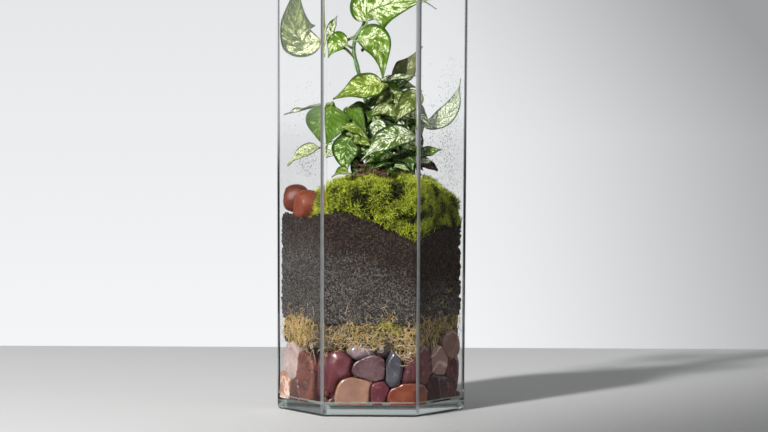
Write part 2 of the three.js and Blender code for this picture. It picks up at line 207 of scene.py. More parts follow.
def clear_shell(name, tint, ior, film, lets_light_in, foot=None):
    """Clear glass or water with a faint uneven film. The thick foot of the glass may have its own tint."""
    glass = Finish(name)
    place = glass.place()
    smear = glass.ramp(glass.noise(place, 38, 4, 0.6, 0.8), 0.45, 0.75, 0.0, film)
    if foot:
        tint = glass.mix(glass.ramp(glass.axis(place, "Z"), 6 * MM, 8 * MM), foot, tint)
    solid = glass.shader(
        Base_Color=tint, Roughness=smear, IOR=ior, Transmission_Weight=1.0, Specular_Tint=(0.3, 0.3, 0.3))
    return glass.close(glass.lit_through(solid, lets_light_in))


def wall_profile():
    """Height and set-back of the glass: up the outside, over the rim and down the inside to its floor."""
    for i in range(1, 8):
        turn = math.pi / 2 * i / 7
        yield FOOT_ROUND * (1 - math.cos(turn)), FOOT_ROUND * (1 - math.sin(turn))
    for i in range(13):
        turn = math.pi * i / 12
        middle = RIM_ROUND if i <= 6 else WALL - RIM_ROUND
        yield HEIGHT - RIM_ROUND * (1 - math.sin(turn)), middle - RIM_ROUND * math.cos(turn)
    for i in range(6):
        turn = math.pi / 2 * i / 5
        yield FLOOR + INNER_ROUND * (1 - math.sin(turn)), WALL + INNER_ROUND * (1 - math.cos(turn))


bpy.ops.object.select_all(action="DESELECT")
bpy.ops.mesh.primitive_circle_add(vertices=6, radius=FOOT_RADIUS, fill_type="NGON", rotation=(0, 0, math.radians(90)))
vase = bpy.context.object
vase.name = "glass_vase"
bpy.ops.object.transform_apply(location=True, rotation=True, scale=True)
bpy.ops.object.mode_set(mode="EDIT")
bpy.ops.mesh.select_all(action="SELECT")
bpy.ops.mesh.bevel(offset=CORNER_ROUND, segments=6, affect="VERTICES")
reach, height = FOOT_FLAT - FOOT_ROUND, 0.0
bpy.ops.transform.resize(value=(reach / FOOT_FLAT, reach / FOOT_FLAT, 1), center_override=(0, 0, 0))
for z, set_back in wall_profile():
    bpy.ops.mesh.extrude_region_move(TRANSFORM_OT_translate={"value": (0, 0, z - height)})
    height, before, reach = z, reach, FOOT_FLAT + FLAT_LEAN * z - set_back
    bpy.ops.transform.resize(value=(reach / before, reach / before, 1), center_override=(0, 0, height))
bpy.ops.mesh.select_all(action="SELECT")
bpy.ops.mesh.normals_make_consistent(inside=False)
shade_round(vase)
add_modifier(vase, "WEIGHTED_NORMAL", mode="FACE_AREA", weight=100, keep_sharp=False)
glass_finish = clear_shell(
    "clear_glass", tint=(0.997, 1.0, 0.999), ior=1.46, film=0.02, lets_light_in=(0.965, 0.98, 0.977),
    foot=(0.60, 0.65, 0.63))
set_piece(vase, glass_finish, "clear_glass", "vase")

# The upright edges at the front and sides are ground to a narrow grey stripe. It is lighter where it stands
# in front of the planting, and the two edges at the sides are painted darker: painted shade along the outline.
edge = Finish("ground_edge")
edge_place = edge.place()
edge_grain = edge.noise(edge_place, 260, 2, 0.5)
edge_lighter_band = edge.window(edge.axis(edge_place, "Z"), 6 * MM, 16 * MM, 110 * MM, 140 * MM)
edge_tone = edge.math("MULTIPLY_ADD", edge_lighter_band, edge.ramp(edge_grain, 0.35, 0.65, 0.06, 0.14), 0.33)
# Painted shade: the two side edges, which show as the vase's outline, are made darker in colour.
edge_side = edge.math("ABSOLUTE", edge.axis(edge_place, "X"))
edge_tone = edge.math("SUBTRACT", edge_tone, edge.ramp(edge_side, 45 * MM, 55 * MM, 0, 0.17))
edge_cool = edge.math("MULTIPLY", edge_tone, 1.03)
edge_face = edge.shader(
    Base_Color=edge.node("CombineColor", Red=edge_tone, Green=edge_cool, Blue=edge_cool),
    Roughness=edge.ramp(edge_grain, 0.3, 0.7, 0.28, 0.34), IOR=1.46, Transmission_Weight=0.8)
vase.data.materials.append(edge.close(edge.lit_through(edge_face, (0.7, 0.71, 0.71))))

# The mould leaves a pale haze on the floor inside and on the round of the foot.
haze = Finish("moulded_floor")
haze_cloud = haze.noise(haze.place(), 120, 4, 0.65, 1.0)
haze_face = haze.shader(
    Base_Color=haze.mix(haze_cloud, (0.30, 0.33, 0.31), (0.52, 0.57, 0.54)),
    Roughness=haze.ramp(haze_cloud, 0.3, 0.7, 0.2, 0.45), IOR=1.46, Transmission_Weight=0.35)
haze_glow = haze.node("BsdfTranslucent", Color=(0.62, 0.68, 0.64))
vase.data.materials.append(haze.close(haze.blend(0.5, haze_face, haze_glow)))

for face in vase.data.polygons:
    x, y, z = face.center
    out = math.hypot(x, y)
    floor_inside = 6 * MM < z < 9.3 * MM and out < FOOT_RADIUS - 1.9 * MM
    round_of_foot = 0.05 * MM < z < 2.3 * MM and y > -15 * MM
    if floor_inside or round_of_foot:
        face.material_index = MOULDED_FLOOR
    from_corner = abs((math.degrees(math.atan2(y, x)) + 30) % 60 - 30)
    at_corner = out > FOOT_RADIUS - 1.2 * MM and from_corner < 1.15
    if at_corner and y < 10 * MM and 3 * MM < z < HEIGHT - 1 * MM:
        face.material_index = GROUND_EDGE


# ---------------------------------------------------------------- the stones
# Tumbled agate and carnelian pebbles, poured in loose over the floor as drainage.
# Each is ground smooth and polished, with its own colour, cloud and banding.

APOTHEM = FOOT_FLAT - WALL  # from the middle to the inside of a wall, at the foot
WALL_TURNS = range(-90, 270, 60)  # the directions that the walls face, in degrees: the first is the front
SMALLEST_CHIP, LARGEST_CHIP = 1.6 * MM, 4.4 * MM
CHIPS_TRIED = 3900  # most of the places tried lie inside a stone


def merged_copy(node, name):
    """A copy of a part of the frame with its triangles joined up, ready to be worked on."""
    copy = bpy.data.objects.new(name, frame["nodes"][node].data.copy())
    bpy.context.scene.collection.objects.link(copy)
    take_hold(copy, "EDIT")
    bpy.ops.mesh.select_all(action="SELECT")
    bpy.ops.mesh.remove_doubles(threshold=0.02 * MM)
    bpy.ops.mesh.normals_make_consistent(inside=False)
    bpy.ops.object.mode_set(mode="OBJECT")
    return copy


def with_normals(obj):
    """Each vertex with its outward direction, all of them read before any vertex moves."""
    return zip(obj.data.vertices, [v.normal.copy() for v in obj.data.vertices])


def skin_of(obj):
    return BVHTree.FromObject(obj, bpy.context.evaluated_depsgraph_get())


def behind_glass(x, y, z):
    """How far a point is from the nearest wall, on the inside."""
    turns = [math.radians(turn) for turn in WALL_TURNS]
    return APOTHEM + FLAT_LEAN * z - max(x * math.cos(turn) + y * math.sin(turn) for turn in turns)


def press_inside(co, margin):
    """Moves a point that would touch the glass back to a margin from it."""
    for turn in WALL_TURNS:
        out = Vector((math.cos(math.radians(turn)), math.sin(math.radians(turn)), 0))
        over = co.dot(out) - (APOTHEM + FLAT_LEAN * co.z - margin)
        if over > 0:
            co = co - out * over
    co.z = max(co.z, FLOOR + 0.15 * MM)
    return co


figure = Finish("stone_figure", "Group")
inside = figure.into.outputs
for name, kind, default in (
    ("Place", "v", (0, 0, 0)), ("Body", "c", (0.4, 0.2, 0.2)), ("Cloud", "c", (0.6, 0.4, 0.3)),
    ("Band", "c", (0.8, 0.7, 0.6)), ("Grain", "f", 60.0), ("Banding", "f", 0.5),
):
    figure.takes(name, kind, default)
swirl = figure.node("TexNoise", "Color", Vector=inside["Place"], Scale=inside["Grain"], Detail=2.0)
warped = figure.node(
    "VectorMath", 0, {"operation": "MULTIPLY_ADD"}, _0=swirl, _1=(0.012, 0.012, 0.012), _2=inside["Place"])
cloud = figure.ramp(figure.noise(warped, inside["Grain"], 3, 0.55, 0.6), 0.38, 0.66)
rings = figure.noise(warped, figure.math("MULTIPLY", inside["Grain"], 0.55), 1, 0.4, 0.2)
bands = figure.math("PINGPONG", figure.math("MULTIPLY", rings, 9.0), 0.5)
bands = figure.math("MULTIPLY", figure.ramp(bands, 0.34, 0.5), inside["Banding"])
specks = figure.ramp(figure.noise(warped, 900, 2, 0.6), 0.58, 0.72)
colour = figure.mix(cloud, inside["Body"], inside["Cloud"])
colour = figure.mix(bands, colour, inside["Band"])
colour = figure.mix(figure.math("MULTIPLY", specks, 0.35), colour, (0.05, 0.02, 0.02))
figure.gives("Color", "c", colour)
figure.gives("Roughness", "f", figure.ramp(figure.noise(warped, 240, 3, 0.6), 0.35, 0.7, 0.1, 0.3))
figure.gives("Height", "f", figure.math("MULTIPLY_ADD", specks, -0.4, figure.noise(warped, 180, 2, 0.5)))


def stone_finish(name, body, cloud, band, banding, glow, grain, offset, matt, shine):
    stone = Finish(name)
    made = stone.group(
        figure, Place=stone.place((offset, offset * 1.7, offset * 0.6)), Body=body, Cloud=cloud, Band=band,
        Grain=grain, Banding=banding)
    return stone.close(stone.shader(
        Base_Color=made["Color"], Roughness=stone.math("ADD", made["Roughness"], matt),
        Normal=stone.bump(made["Height"], 0.2 * MM, 0.5), IOR=1.54, Specular_IOR_Level=shine,
        Coat_Weight=max(0.0, 0.3 - matt), Coat_Roughness=0.08 + matt,
        Subsurface_Weight=glow, Subsurface_Radius=(1.0, 0.35, 0.25), Subsurface_Scale=4 * MM))


def polish_stone(node, slot, *look, offset, matt=0.0, shine=0.5):
    """Tumbling leaves a few broad worn flats and faint dents, and no stone reaches into the glass."""
    stone = merged_copy(node, node + "_pebble")
    add_modifier(stone, "SUBSURF", levels=2, render_levels=2)
    chance = np.random.default_rng(len(node) * 100 + sum(map(ord, node)))
    low, high = Vector(stone.bound_box[0]), Vector(stone.bound_box[6])
    middle, half = (low + high) / 2, (high - low) / 2
    flats = [(Vector(chance.normal(0, 1, 3)).normalized(), chance.uniform(0.72, 0.9)) for _ in range(9)]
    for vertex, normal in with_normals(stone):
        p = vertex.co - middle
        p = Vector((p.x / half.x, p.y / half.y, p.z / half.z))
        for flat, reach in flats:
            over = p.dot(flat) - reach
            if over > 0:
                p -= flat * over * 0.8
        lump = noise.noise(vertex.co * 110 + Vector((offset, 0, 0))) * 0.7
        co = middle + Vector((p.x * half.x, p.y * half.y, p.z * half.z)) + normal * (1.15 + lump) * MM
        vertex.co = press_inside(co, 0.15 * MM)
    add_modifier(stone, "SMOOTH", factor=0.5, iterations=2)
    shade_round(stone)
    set_piece(stone, stone_finish(node + "_stone", *look, offset, matt, shine), slot, node)
    return stone


def nestle(pile, reach):
    """Swells each stone towards its neighbours, so that they lie against each other as a poured pile does."""
    for _ in range(2):
        skins = [skin_of(stone) for stone in pile]
        spans = [np.array([v.co[:] for v in stone.data.vertices]) for stone in pile]
        spans = [(points.min(0) - reach / 2, points.max(0) + reach / 2) for points in spans]
        for stone, own_skin, (low, high) in zip(pile, skins, spans):
            beside = [
                skin for skin, (a, b) in zip(skins, spans)
                if np.all(a < high) and np.all(b > low) and skin is not own_skin
            ]
            for vertex, normal in with_normals(stone):
                gap = 1.5 * MM if stone.name.startswith("stone_grey_sliver") else reach
                for skin in beside:
                    hit = skin.find_nearest(vertex.co, gap)
                    if hit[0] is not None:
                        gap = 0.0 if (vertex.co - hit[0]).dot(hit[1]) < 0 else min(gap, hit[3])
                    if not gap:
                        break
                vertex.co = press_inside(vertex.co + normal * max(0.0, 0.42 * gap - 0.06 * MM), 0.15 * MM)
            add_modifier(stone, "SMOOTH", factor=0.5, iterations=2)


def ball_shape(subdivisions):
    """The vertices and faces of a small ball, to be cut and turned for each chip, crumb or drop."""
    bpy.ops.object.select_all(action="DESELECT")
    bpy.ops.mesh.primitive_ico_sphere_add(subdivisions=subdivisions, radius=1)
    ball = bpy.context.object.data
    shape = np.array([v.co[:] for v in ball.vertices]), [tuple(face.vertices) for face in ball.polygons]
    bpy.data.objects.remove(bpy.context.object)
    bpy.data.meshes.remove(ball)
    return shape


def any_turn(chance):
    """A turn in any direction, as a matrix for rows of points."""
    return np.array(Euler(chance.uniform(0, 6.3, 3)).to_matrix()).T


def gather(name, parts):
    """One mesh from many small closed parts: (vertices, faces, shade, tone). Its vertices keep both numbers."""
    verts, faces, shades = [], [], []
    for part_verts, part_faces, shade, tone in parts:
        start = len(verts)
        verts.extend(part_verts)
        faces.extend(tuple(start + i for i in face) for face in part_faces)
        values = shade if isinstance(shade, list) else [shade] * len(part_verts)
        shades.extend((value, tone, 0, 1) for value in values)
    mesh = bpy.data.meshes.new(name)
    mesh.from_pydata(verts, [], faces)
    layer = mesh.color_attributes.new("look", "FLOAT_COLOR", "POINT")
    layer.data.foreach_set("color", np.array(shades, dtype=np.float32).ravel())
    made = bpy.data.objects.new(name, mesh)
    bpy.context.scene.collection.objects.link(made)
    return made


def look_of(finish):
    """The shade and tone that gather() gave each part."""
    look = finish.node("VertexColor", "Color", {"layer_name": "look"})
    split = finish.make("SeparateColor", (), {0: look}).outputs
    return split["Red"], split["Green"]


# Node, slot, body, cloud, band, how banded, how much light it lets in, size of its clouds.
STONES = (
    ("stone_ochre", "pale_stone", (0.20, 0.10, 0.070), (0.27, 0.15, 0.115), (0.34, 0.15, 0.05), 0.5, 0.3, 60),
    ("stone_orange_low", "red_stone", (0.13, 0.026, 0.016), (0.20, 0.06, 0.028), (0.07, 0.018, 0.014), 0.35, 0.35, 55),
    ("stone_crimson", "red_stone", (0.085, 0.018, 0.026), (0.14, 0.042, 0.048), (0.18, 0.07, 0.07), 0.3, 0.3, 70),
    ("stone_grey_sliver", "slate_stone", (0.045, 0.044, 0.054), (0.078, 0.074, 0.086),
     (0.12, 0.11, 0.125), 0.3, 0.1, 80),
    ("stone_mauve_long", "mauve_stone", (0.064, 0.029, 0.032), (0.11, 0.064, 0.067), (0.16, 0.10, 0.10), 0.5, 0.2, 70),
    ("stone_mauve_tall", "mauve_stone", (0.095, 0.022, 0.028), (0.15, 0.055, 0.065), (0.17, 0.05, 0.04), 0.3, 0.3, 45),
    ("stone_red_tall", "red_stone", (0.070, 0.020, 0.028), (0.115, 0.042, 0.042), (0.15, 0.065, 0.056), 0.4, 0.3, 50),
    ("stone_dark_flat", "slate_stone", (0.13, 0.085, 0.098), (0.22, 0.16, 0.18), (0.29, 0.23, 0.24), 0.4, 0.15, 60),
    ("stone_slate", "slate_stone", (0.040, 0.032, 0.040), (0.068, 0.056, 0.066), (0.10, 0.09, 0.10), 0.3, 0.1, 60),
    ("stone_red_brown", "red_stone", (0.095, 0.024, 0.018), (0.16, 0.050, 0.032), (0.20, 0.11, 0.085), 0.4, 0.3, 60),
    ("stone_pale", "pale_stone", (0.36, 0.25, 0.23), (0.48, 0.37, 0.34), (0.28, 0.16, 0.13), 0.4, 0.25, 60),
    ("stone_cream_small", "pale_stone", (0.34, 0.15, 0.09), (0.72, 0.50, 0.41), (0.74, 0.56, 0.47), 0.8, 0.3, 90),
    ("stone_brown_small", "dark_stone", (0.060, 0.020, 0.017), (0.11, 0.044, 0.034), (0.18, 0.075, 0.05), 0.3, 0.3, 90),
    ("stone_maroon_big", "dark_stone", (0.020, 0.004, 0.007), (0.045, 0.010, 0.010),
     (0.20, 0.055, 0.014), 0.35, 0.25, 40),
    ("stone_mauve_rimmed", "mauve_stone", (0.15, 0.068, 0.060), (0.23, 0.13, 0.115), (0.52, 0.41, 0.34), 0.7, 0.25, 45),
    ("stone_maroon_small", "dark_stone", (0.065, 0.014, 0.016), (0.11, 0.030, 0.030),
     (0.18, 0.065, 0.056), 0.3, 0.25, 60),
    ("stone_brown_grey", "dark_stone", (0.13, 0.065, 0.052), (0.20, 0.12, 0.10), (0.15, 0.068, 0.05), 0.4, 0.2, 55),
    ("stone_back_a", "mauve_stone", (0.09, 0.032, 0.028), (0.15, 0.07, 0.06), (0.2, 0.12, 0.1), 0.5, 0.2, 45),
    ("stone_back_b", "pale_stone", (0.15, 0.07, 0.05), (0.22, 0.13, 0.1), (0.3, 0.21, 0.17), 0.5, 0.2, 45),
    ("stone_back_c", "slate_stone", (0.06, 0.045, 0.048), (0.1, 0.08, 0.083), (0.16, 0.13, 0.13), 0.5, 0.1, 45),
    ("stone_back_d", "red_stone", (0.07, 0.016, 0.014), (0.12, 0.035, 0.022), (0.18, 0.07, 0.05), 0.4, 0.25, 45),
    ("stone_back_e", "pale_stone", (0.18, 0.11, 0.085), (0.26, 0.19, 0.16), (0.16, 0.07, 0.05), 0.5, 0.2, 45),
    ("stone_back_f", "red_stone", (0.09, 0.020, 0.016), (0.15, 0.05, 0.032), (0.22, 0.11, 0.085), 0.5, 0.25, 45),
    ("stone_back_g", "slate_stone", (0.06, 0.04, 0.05), (0.1, 0.072, 0.083), (0.16, 0.125, 0.135), 0.5, 0.1, 45),
    ("stone_middle", "mauve_stone", (0.055, 0.018, 0.015), (0.09, 0.04, 0.032), (0.13, 0.07, 0.06), 0.4, 0.2, 50),
)
for order, (node, slot, *look) in enumerate(STONES):
    polish_stone(node, slot, *look, offset=0.41 * order)
pile = [stone for stone in bpy.context.scene.objects if stone.name.endswith("_pebble")]
nestle(pile, reach=4.5 * MM)

# Small chips of the same stones have run down into the gaps between them.
skins = [skin_of(stone) for stone in pile]
boxes = [(np.min([c[:] for c in stone.bound_box], 0), np.max([c[:] for c in stone.bound_box], 0)) for stone in pile]
chip_verts, chip_faces = ball_shape(2)
chance = np.random.default_rng(5)
chips, placed = [], []
for _ in range(CHIPS_TRIED):
    spot = Vector(chance.uniform((-56, -49, 8.5), (56, 49, 33))) * MM
    space = min(LARGEST_CHIP, spot.z - FLOOR, behind_glass(*spot))
    if space < SMALLEST_CHIP:
        continue
    for skin, (low, high) in zip(skins, boxes):
        if np.any(np.array(spot) < low - space) or np.any(np.array(spot) > high + space):
            continue
        hit, normal, _, distance = skin.find_nearest(spot)
        space = min(space, distance if (spot - hit).dot(normal) > 0 else 0)
        if space < SMALLEST_CHIP:
            break
    for other, size in placed:
        space = min(space, (spot - other).length - size * 0.8)
    if space < SMALLEST_CHIP:
        continue
    placed.append((spot, space))
    turn = any_turn(chance)
    cut = chip_verts.copy()
    for flat in chance.normal(0, 1, (5, 3)):
        flat /= np.linalg.norm(flat)
        cut -= np.maximum(0, cut @ flat - chance.uniform(0.45, 0.8))[:, None] * flat
    verts = [spot + Vector(v) for v in (cut * chance.uniform(0.8, 1.5, 3) * space * 1.25) @ turn]
    verts = [press_inside(v, 0.1 * MM) for v in verts]
    chips.append((verts, chip_faces, float(chance.random()), float(chance.random())))
stone_chips = gather("stone_chips", chips)
shade_round(stone_chips)
chip = Finish("stone_chips")
chip_shade, chip_tone = look_of(chip)
chip_made = chip.group(
    figure, Place=chip.place((2, 5, 3)), Body=chip.mix(chip_tone, (0.07, 0.018, 0.016), (0.035, 0.016, 0.018)),
    Cloud=chip.mix(chip_shade, (0.12, 0.035, 0.025), (0.11, 0.07, 0.06)), Band=(0.16, 0.08, 0.06),
    Grain=90.0, Banding=0.3)
set_piece(stone_chips, chip.close(chip.shader(
    Base_Color=chip_made["Color"], Roughness=chip.math("ADD", chip_made["Roughness"], 0.2), IOR=1.5,
    Normal=chip.bump(chip_made["Height"], 0.2 * MM, 0.5),
    Subsurface_Weight=0.2, Subsurface_Radius=(1.0, 0.35, 0.25), Subsurface_Scale=3 * MM)), "red_stone")


# ---------------------------------------------------------------- the sphagnum mat
# A layer of dried sphagnum that keeps the soil out of the stones: a pressed mat,
# with long curly strands, golden, tan and still green, that push against the glass.

CORNER_LEAN = 0.0043  # how far a corner of the vase leans out, for its height
STRAND_RING = 52 * MM  # how far out the strands lie: it turns a step along the glass into an angle


def by_the_glass(angle, z, depth):
    """The point at a depth behind the glass, in a direction from the middle, at a height."""
    off_flat = (angle - math.radians(-90) + math.pi / 6) % (math.pi / 3) - math.pi / 6
    reach = (APOTHEM + CORNER_LEAN * z * 0.866 - depth) / math.cos(off_flat)
    return Vector((reach * math.cos(angle), reach * math.sin(angle), z))


def round_strand(points, radii, sides):
    """The vertices and faces of a round strand along a row of points, closed at both ends."""
    verts, faces = [], []
    across = None
    for i, point in enumerate(points):
        along = (points[min(i + 1, len(points) - 1)] - points[max(i - 1, 0)]).normalized()
        if across is None:
            across = along.orthogonal().normalized()
        across = (across - along * across.dot(along)).normalized()
        up = along.cross(across)
        for k in range(sides):
            turn = 2 * math.pi * k / sides
            verts.append(point + (across * math.cos(turn) + up * math.sin(turn)) * radii[i])
    for i in range(len(points) - 1):
        for k in range(sides):
            a, b = i * sides + k, i * sides + (k + 1) % sides
            faces.append((a, b, b + sides, a + sides))
    faces.append(tuple(reversed(range(sides))))
    faces.append(tuple(range(len(verts) - sides, len(verts))))
    return verts, faces


def strand_finish(name, dark, light, second_dark, second_light, rough=0.75):
    """Dry plant fibre or crumbs: two colours from shadow to light, chosen part by part."""
    fibre = Finish(name)
    shade, tone = look_of(fibre)
    grain = fibre.noise(fibre.place(), 700, 3, 0.6)
    value = fibre.ramp(fibre.math("ADD", shade, fibre.math("MULTIPLY_ADD", grain, 0.5, -0.25)), 0.0, 1.0)
    first, second = fibre.mix(value, dark, light), fibre.mix(value, second_dark, second_light)
    return fibre.close(fibre.shader(
        Base_Color=fibre.mix(tone, first, second), Roughness=fibre.ramp(grain, 0.3, 0.7, rough - 0.1, rough + 0.15),
        Normal=fibre.bump(grain, 0.2 * MM, 0.6), Specular_IOR_Level=0.2,
        Subsurface_Weight=0.1, Subsurface_Radius=(1, 0.7, 0.3), Subsurface_Scale=1 * MM))


def curly_path(chance, angle, z, depth, length, steps, curl, heading=None):
    """A strand that wanders and curls close behind the glass."""
    heading = chance.uniform(0, 2 * math.pi) if heading is None else heading
    turn = chance.normal(0, curl * 0.5)
    points, stride = [], length / steps
    sink = chance.uniform(-0.15, 0.15)
    for _ in range(steps + 1):
        points.append(by_the_glass(angle, z, max(depth, 0.4 * MM)))
        angle += math.cos(heading) * stride / STRAND_RING
        z += math.sin(heading) * stride
        depth += sink * stride
        heading += turn + chance.normal(0, curl)
        turn += chance.normal(0, curl * 0.25)
        sink += chance.normal(0, 0.12)
    return points


def waviness(angle):
    """How far the top and the foot of the mat rise and fall in a direction, from -1 to 1."""
    return noise.noise(Vector((angle * 11, 0.5, 2.0)))


mat_base = merged_copy("sphagnum_mat", "sphagnum_mat_base")
add_modifier(mat_base, "REMESH", mode="VOXEL", voxel_size=1.6 * MM)
for vertex in mat_base.data.vertices:
    co = vertex.co
    rough = noise.noise(co * 300) + 0.6 * noise.noise(co * 800)
    drawn_in = 0.955 + 0.015 * rough
    vertex.co = Vector((co.x * drawn_in, co.y * drawn_in, co.z + 1.6 * MM * rough))
shade_round(mat_base)
bed = Finish("sphagnum_bed")
bed_place = bed.place()
bed_fibre = bed.noise(bed_place, 420, 4, 0.7, 1.5)
bed_lump = bed.noise(bed_place, 90, 2, 0.5)
# The bed is a dark peat brown, painted darker still: painted shade for the depths of the mat behind its strands.
bed_colour_and_shade = bed.mix(bed.ramp(bed_fibre, 0.42, 0.62), (0.010, 0.006, 0.004), (0.060, 0.036, 0.016))
bed_colour_and_shade = bed.mix(bed.ramp(bed_lump, 0.5, 0.7, 0, 0.6), bed_colour_and_shade, (0.035, 0.030, 0.010))
bed_face = bed.shader(
    Base_Color=bed_colour_and_shade, Roughness=bed.ramp(bed_lump, 0.3, 0.7, 0.8, 0.95), Normal=bed.bump(bed_fibre, 1 * MM))
set_piece(mat_base, bed.close(bed_face), "dry_sphagnum", "sphagnum_mat")

# Direction in degrees (-90 is the front), how wide a band of directions, lowest and highest millimetre,
# number of strands, length, how light they are, share of green ones and of tan ones.
CLUMPS = (
    (-152, 26, 43, 61, 680, 10, 0.88, 0.06, 0.12),
    (-168, 10, 44, 58, 160, 9, 0.66, 0.05, 0.2),
    (-150, 30, 56, 68, 60, 8, 0.7, 0.0, 0.6),
    (-104, 16, 41, 55, 360, 11, 0.76, 0.12, 0.6),
    (-96, 24, 52, 63, 90, 8, 0.6, 0.1, 0.8),
    (-84, 12, 42, 55, 290, 11, 0.66, 0.2, 0.6),
    (-80, 18, 54, 68, 120, 8, 0.62, 0.05, 0.95),
    (-77, 9, 51, 57, 200, 7, 0.72, 0.96, 0.1),
    (-64, 8, 38, 57, 260, 12, 0.74, 0.05, 0.6),
    (-42, 22, 44, 61, 380, 12, 0.64, 0.1, 0.7),
    (-30, 30, 58, 74, 90, 10, 0.6, 0.05, 0.9),
    (-14, 14, 46, 62, 220, 11, 0.62, 0.15, 0.7),
    (30, 40, 42, 62, 300, 11, 0.6, 0.1, 0.4),
    (90, 40, 42, 62, 300, 11, 0.6, 0.1, 0.4),
    (150, 40, 42, 62, 300, 11, 0.6, 0.1, 0.4),
)
# Angle in degrees, height and length in millimetres, and heading of the straws that hang down over the stones.
STRAWS = (
    (-42, 45, 19, -1.35), (-38, 46, 15, -1.9), (-57, 44, 13, -1.2), (-97, 42, 12, -0.5), (-136, 44, 14, -1.2),
    (-146, 45, 11, -1.5), (-72, 40, 10, -1.0),
)
chance = np.random.default_rng(7)
strands = {"golden": [], "tan": []}
for direction, width, low, high, count, length, light, green, tan in CLUMPS:
    for _ in range(int(count * 1.1)):
        angle = math.radians(direction + chance.normal(0, width / 2.2))
        # The mat's edges are ragged, and some strands stand out of it.
        ragged, stray = 6 * waviness(angle), chance.random() < 0.12
        ragged += chance.uniform(-5, 5) if stray else 0
        z = (low + ragged + (high - low) * chance.beta(1.6, 1.6)) * MM
        depth = (0.45 if stray else chance.uniform(0.7, 4.2)) * MM
        path = curly_path(chance, angle, z, depth, length * chance.uniform(0.25, 1.0) * MM, 6, 0.6)
        thick = chance.uniform(0.07, 0.23) * MM
        verts, faces = round_strand(path, [thick * (1 - 0.6 * abs(i / 3 - 1)) for i in range(7)], 3)
        green_one = float(chance.random() < green and not stray)
        kind = "tan" if chance.random() < tan and not green_one else "golden"
        # Strands that lie deeper behind the glass are painted darker: painted shade.
        shade = float(np.clip(chance.normal(light, 0.4) - (depth - 1.5 * MM) * 260, 0, 1))
        strands[kind].append((verts, faces, shade, green_one))
for angle, z, length, heading in STRAWS:
    for k in range(2):
        path = curly_path(chance, math.radians(angle + 2.2 * k), z * MM, 1.2 * MM, length * MM, 9, 0.12, heading)
        verts, faces = round_strand(path, [0.26 * MM * (1 - 0.07 * i) for i in range(10)], 4)
        strands["tan"].append((verts, faces, 0.75 - 0.2 * k, 0.0))
for kind, dark, light in (
    ("golden", (0.045, 0.025, 0.010), (0.66, 0.42, 0.14)),
    ("tan", (0.05, 0.033, 0.022), (0.62, 0.47, 0.30)),
):
    sphagnum = gather("sphagnum_" + kind, strands[kind])
    shade_round(sphagnum)
    finish = strand_finish("sphagnum_" + kind, dark, light, (0.04, 0.05, 0.006), (0.46, 0.44, 0.05))
    set_piece(sphagnum, finish, "dry_sphagnum")


# ---------------------------------------------------------------- the soil
# Potting soil: dark peat and fine bark with pale specks, poured in and pressed
# against the glass. Its crumbs leave small gaps in the upright corners.

GRAINS = 1350.0  # how fine the soil's grain is: grains are about 1 / 1350 m across
CRUMBS_TRIED, MOST_CRUMBS = 15000, 8800


def bitten(co):
    """How deep a gap, in millimetres, is bitten out of the two corners that show in outline."""
    corner = max(0.0, abs(co.x) - 51 * MM) / (5 * MM)
    bite = 0.3 + 2.4 * max(0.0, noise.noise(Vector((9, 4, co.z * 260)))) + 1.3 * noise.noise(Vector((2, 8, co.z * 700)))
    return max(0.0, corner * bite * (1.4 if co.x > 0 else 0.7))


soil = merged_copy("soil", "potting_soil")
add_modifier(soil, "REMESH", mode="VOXEL", voxel_size=1.25 * MM)
for vertex, normal in with_normals(soil):
    co = vertex.co
    clods = noise.noise(co * 170) + 0.7 * noise.noise(co * 420 + Vector((3, 1, 7)))
    crumbs = noise.noise(co * 900)
    inward = 1 - (0.35 - 0.25 * clods - 0.18 * crumbs + bitten(co)) * MM / max(co.xy.length, 20 * MM)
    heap = 2.2 if co.z > 100 * MM and normal.z > 0.4 else 0.5
    # Its foot follows the uneven top of the mat.
    foot = max(0.0, min(1.0, 1 - (co.z - 53 * MM) / (10 * MM))) * 4 * waviness(math.atan2(co.y, co.x))
    vertex.co = Vector((co.x * inward, co.y * inward, co.z + (heap * (clods + 0.7 * crumbs) + foot) * MM))
shade_round(soil)

dirt = Finish("potting_soil")
dirt_place = dirt.place()
crumb = dirt.node("SeparateColor", Color=dirt.node("TexVoronoi", "Color", Vector=dirt_place, Scale=GRAINS))
crumb_edge = dirt.node("TexVoronoi", "Distance", {"feature": "DISTANCE_TO_EDGE"}, Vector=dirt_place, Scale=GRAINS)
fine = dirt.noise(dirt_place, 1700, 3, 0.65)
patch = dirt.noise(dirt_place, 60, 3, 0.55)
dirt_colour = dirt.mix(dirt.ramp(crumb, 0.27, 1.0), (0.046, 0.040, 0.037), (0.32, 0.277, 0.252))
dirt_colour = dirt.mix(dirt.ramp(patch, 0.42, 0.62, 0, 0.25), dirt_colour, (0.075, 0.065, 0.061))
dirt_colour = dirt.mix(dirt.ramp(crumb, 0.93, 0.98, 0, 0.8), dirt_colour, (0.24, 0.21, 0.19))
# Painted shade: the narrow gaps between the grains are darkened.
dirt_colour = dirt.mix(dirt.ramp(crumb_edge, 0.0, 0.18, 0.7, 0.0), dirt_colour, (0.016, 0.013, 0.012))
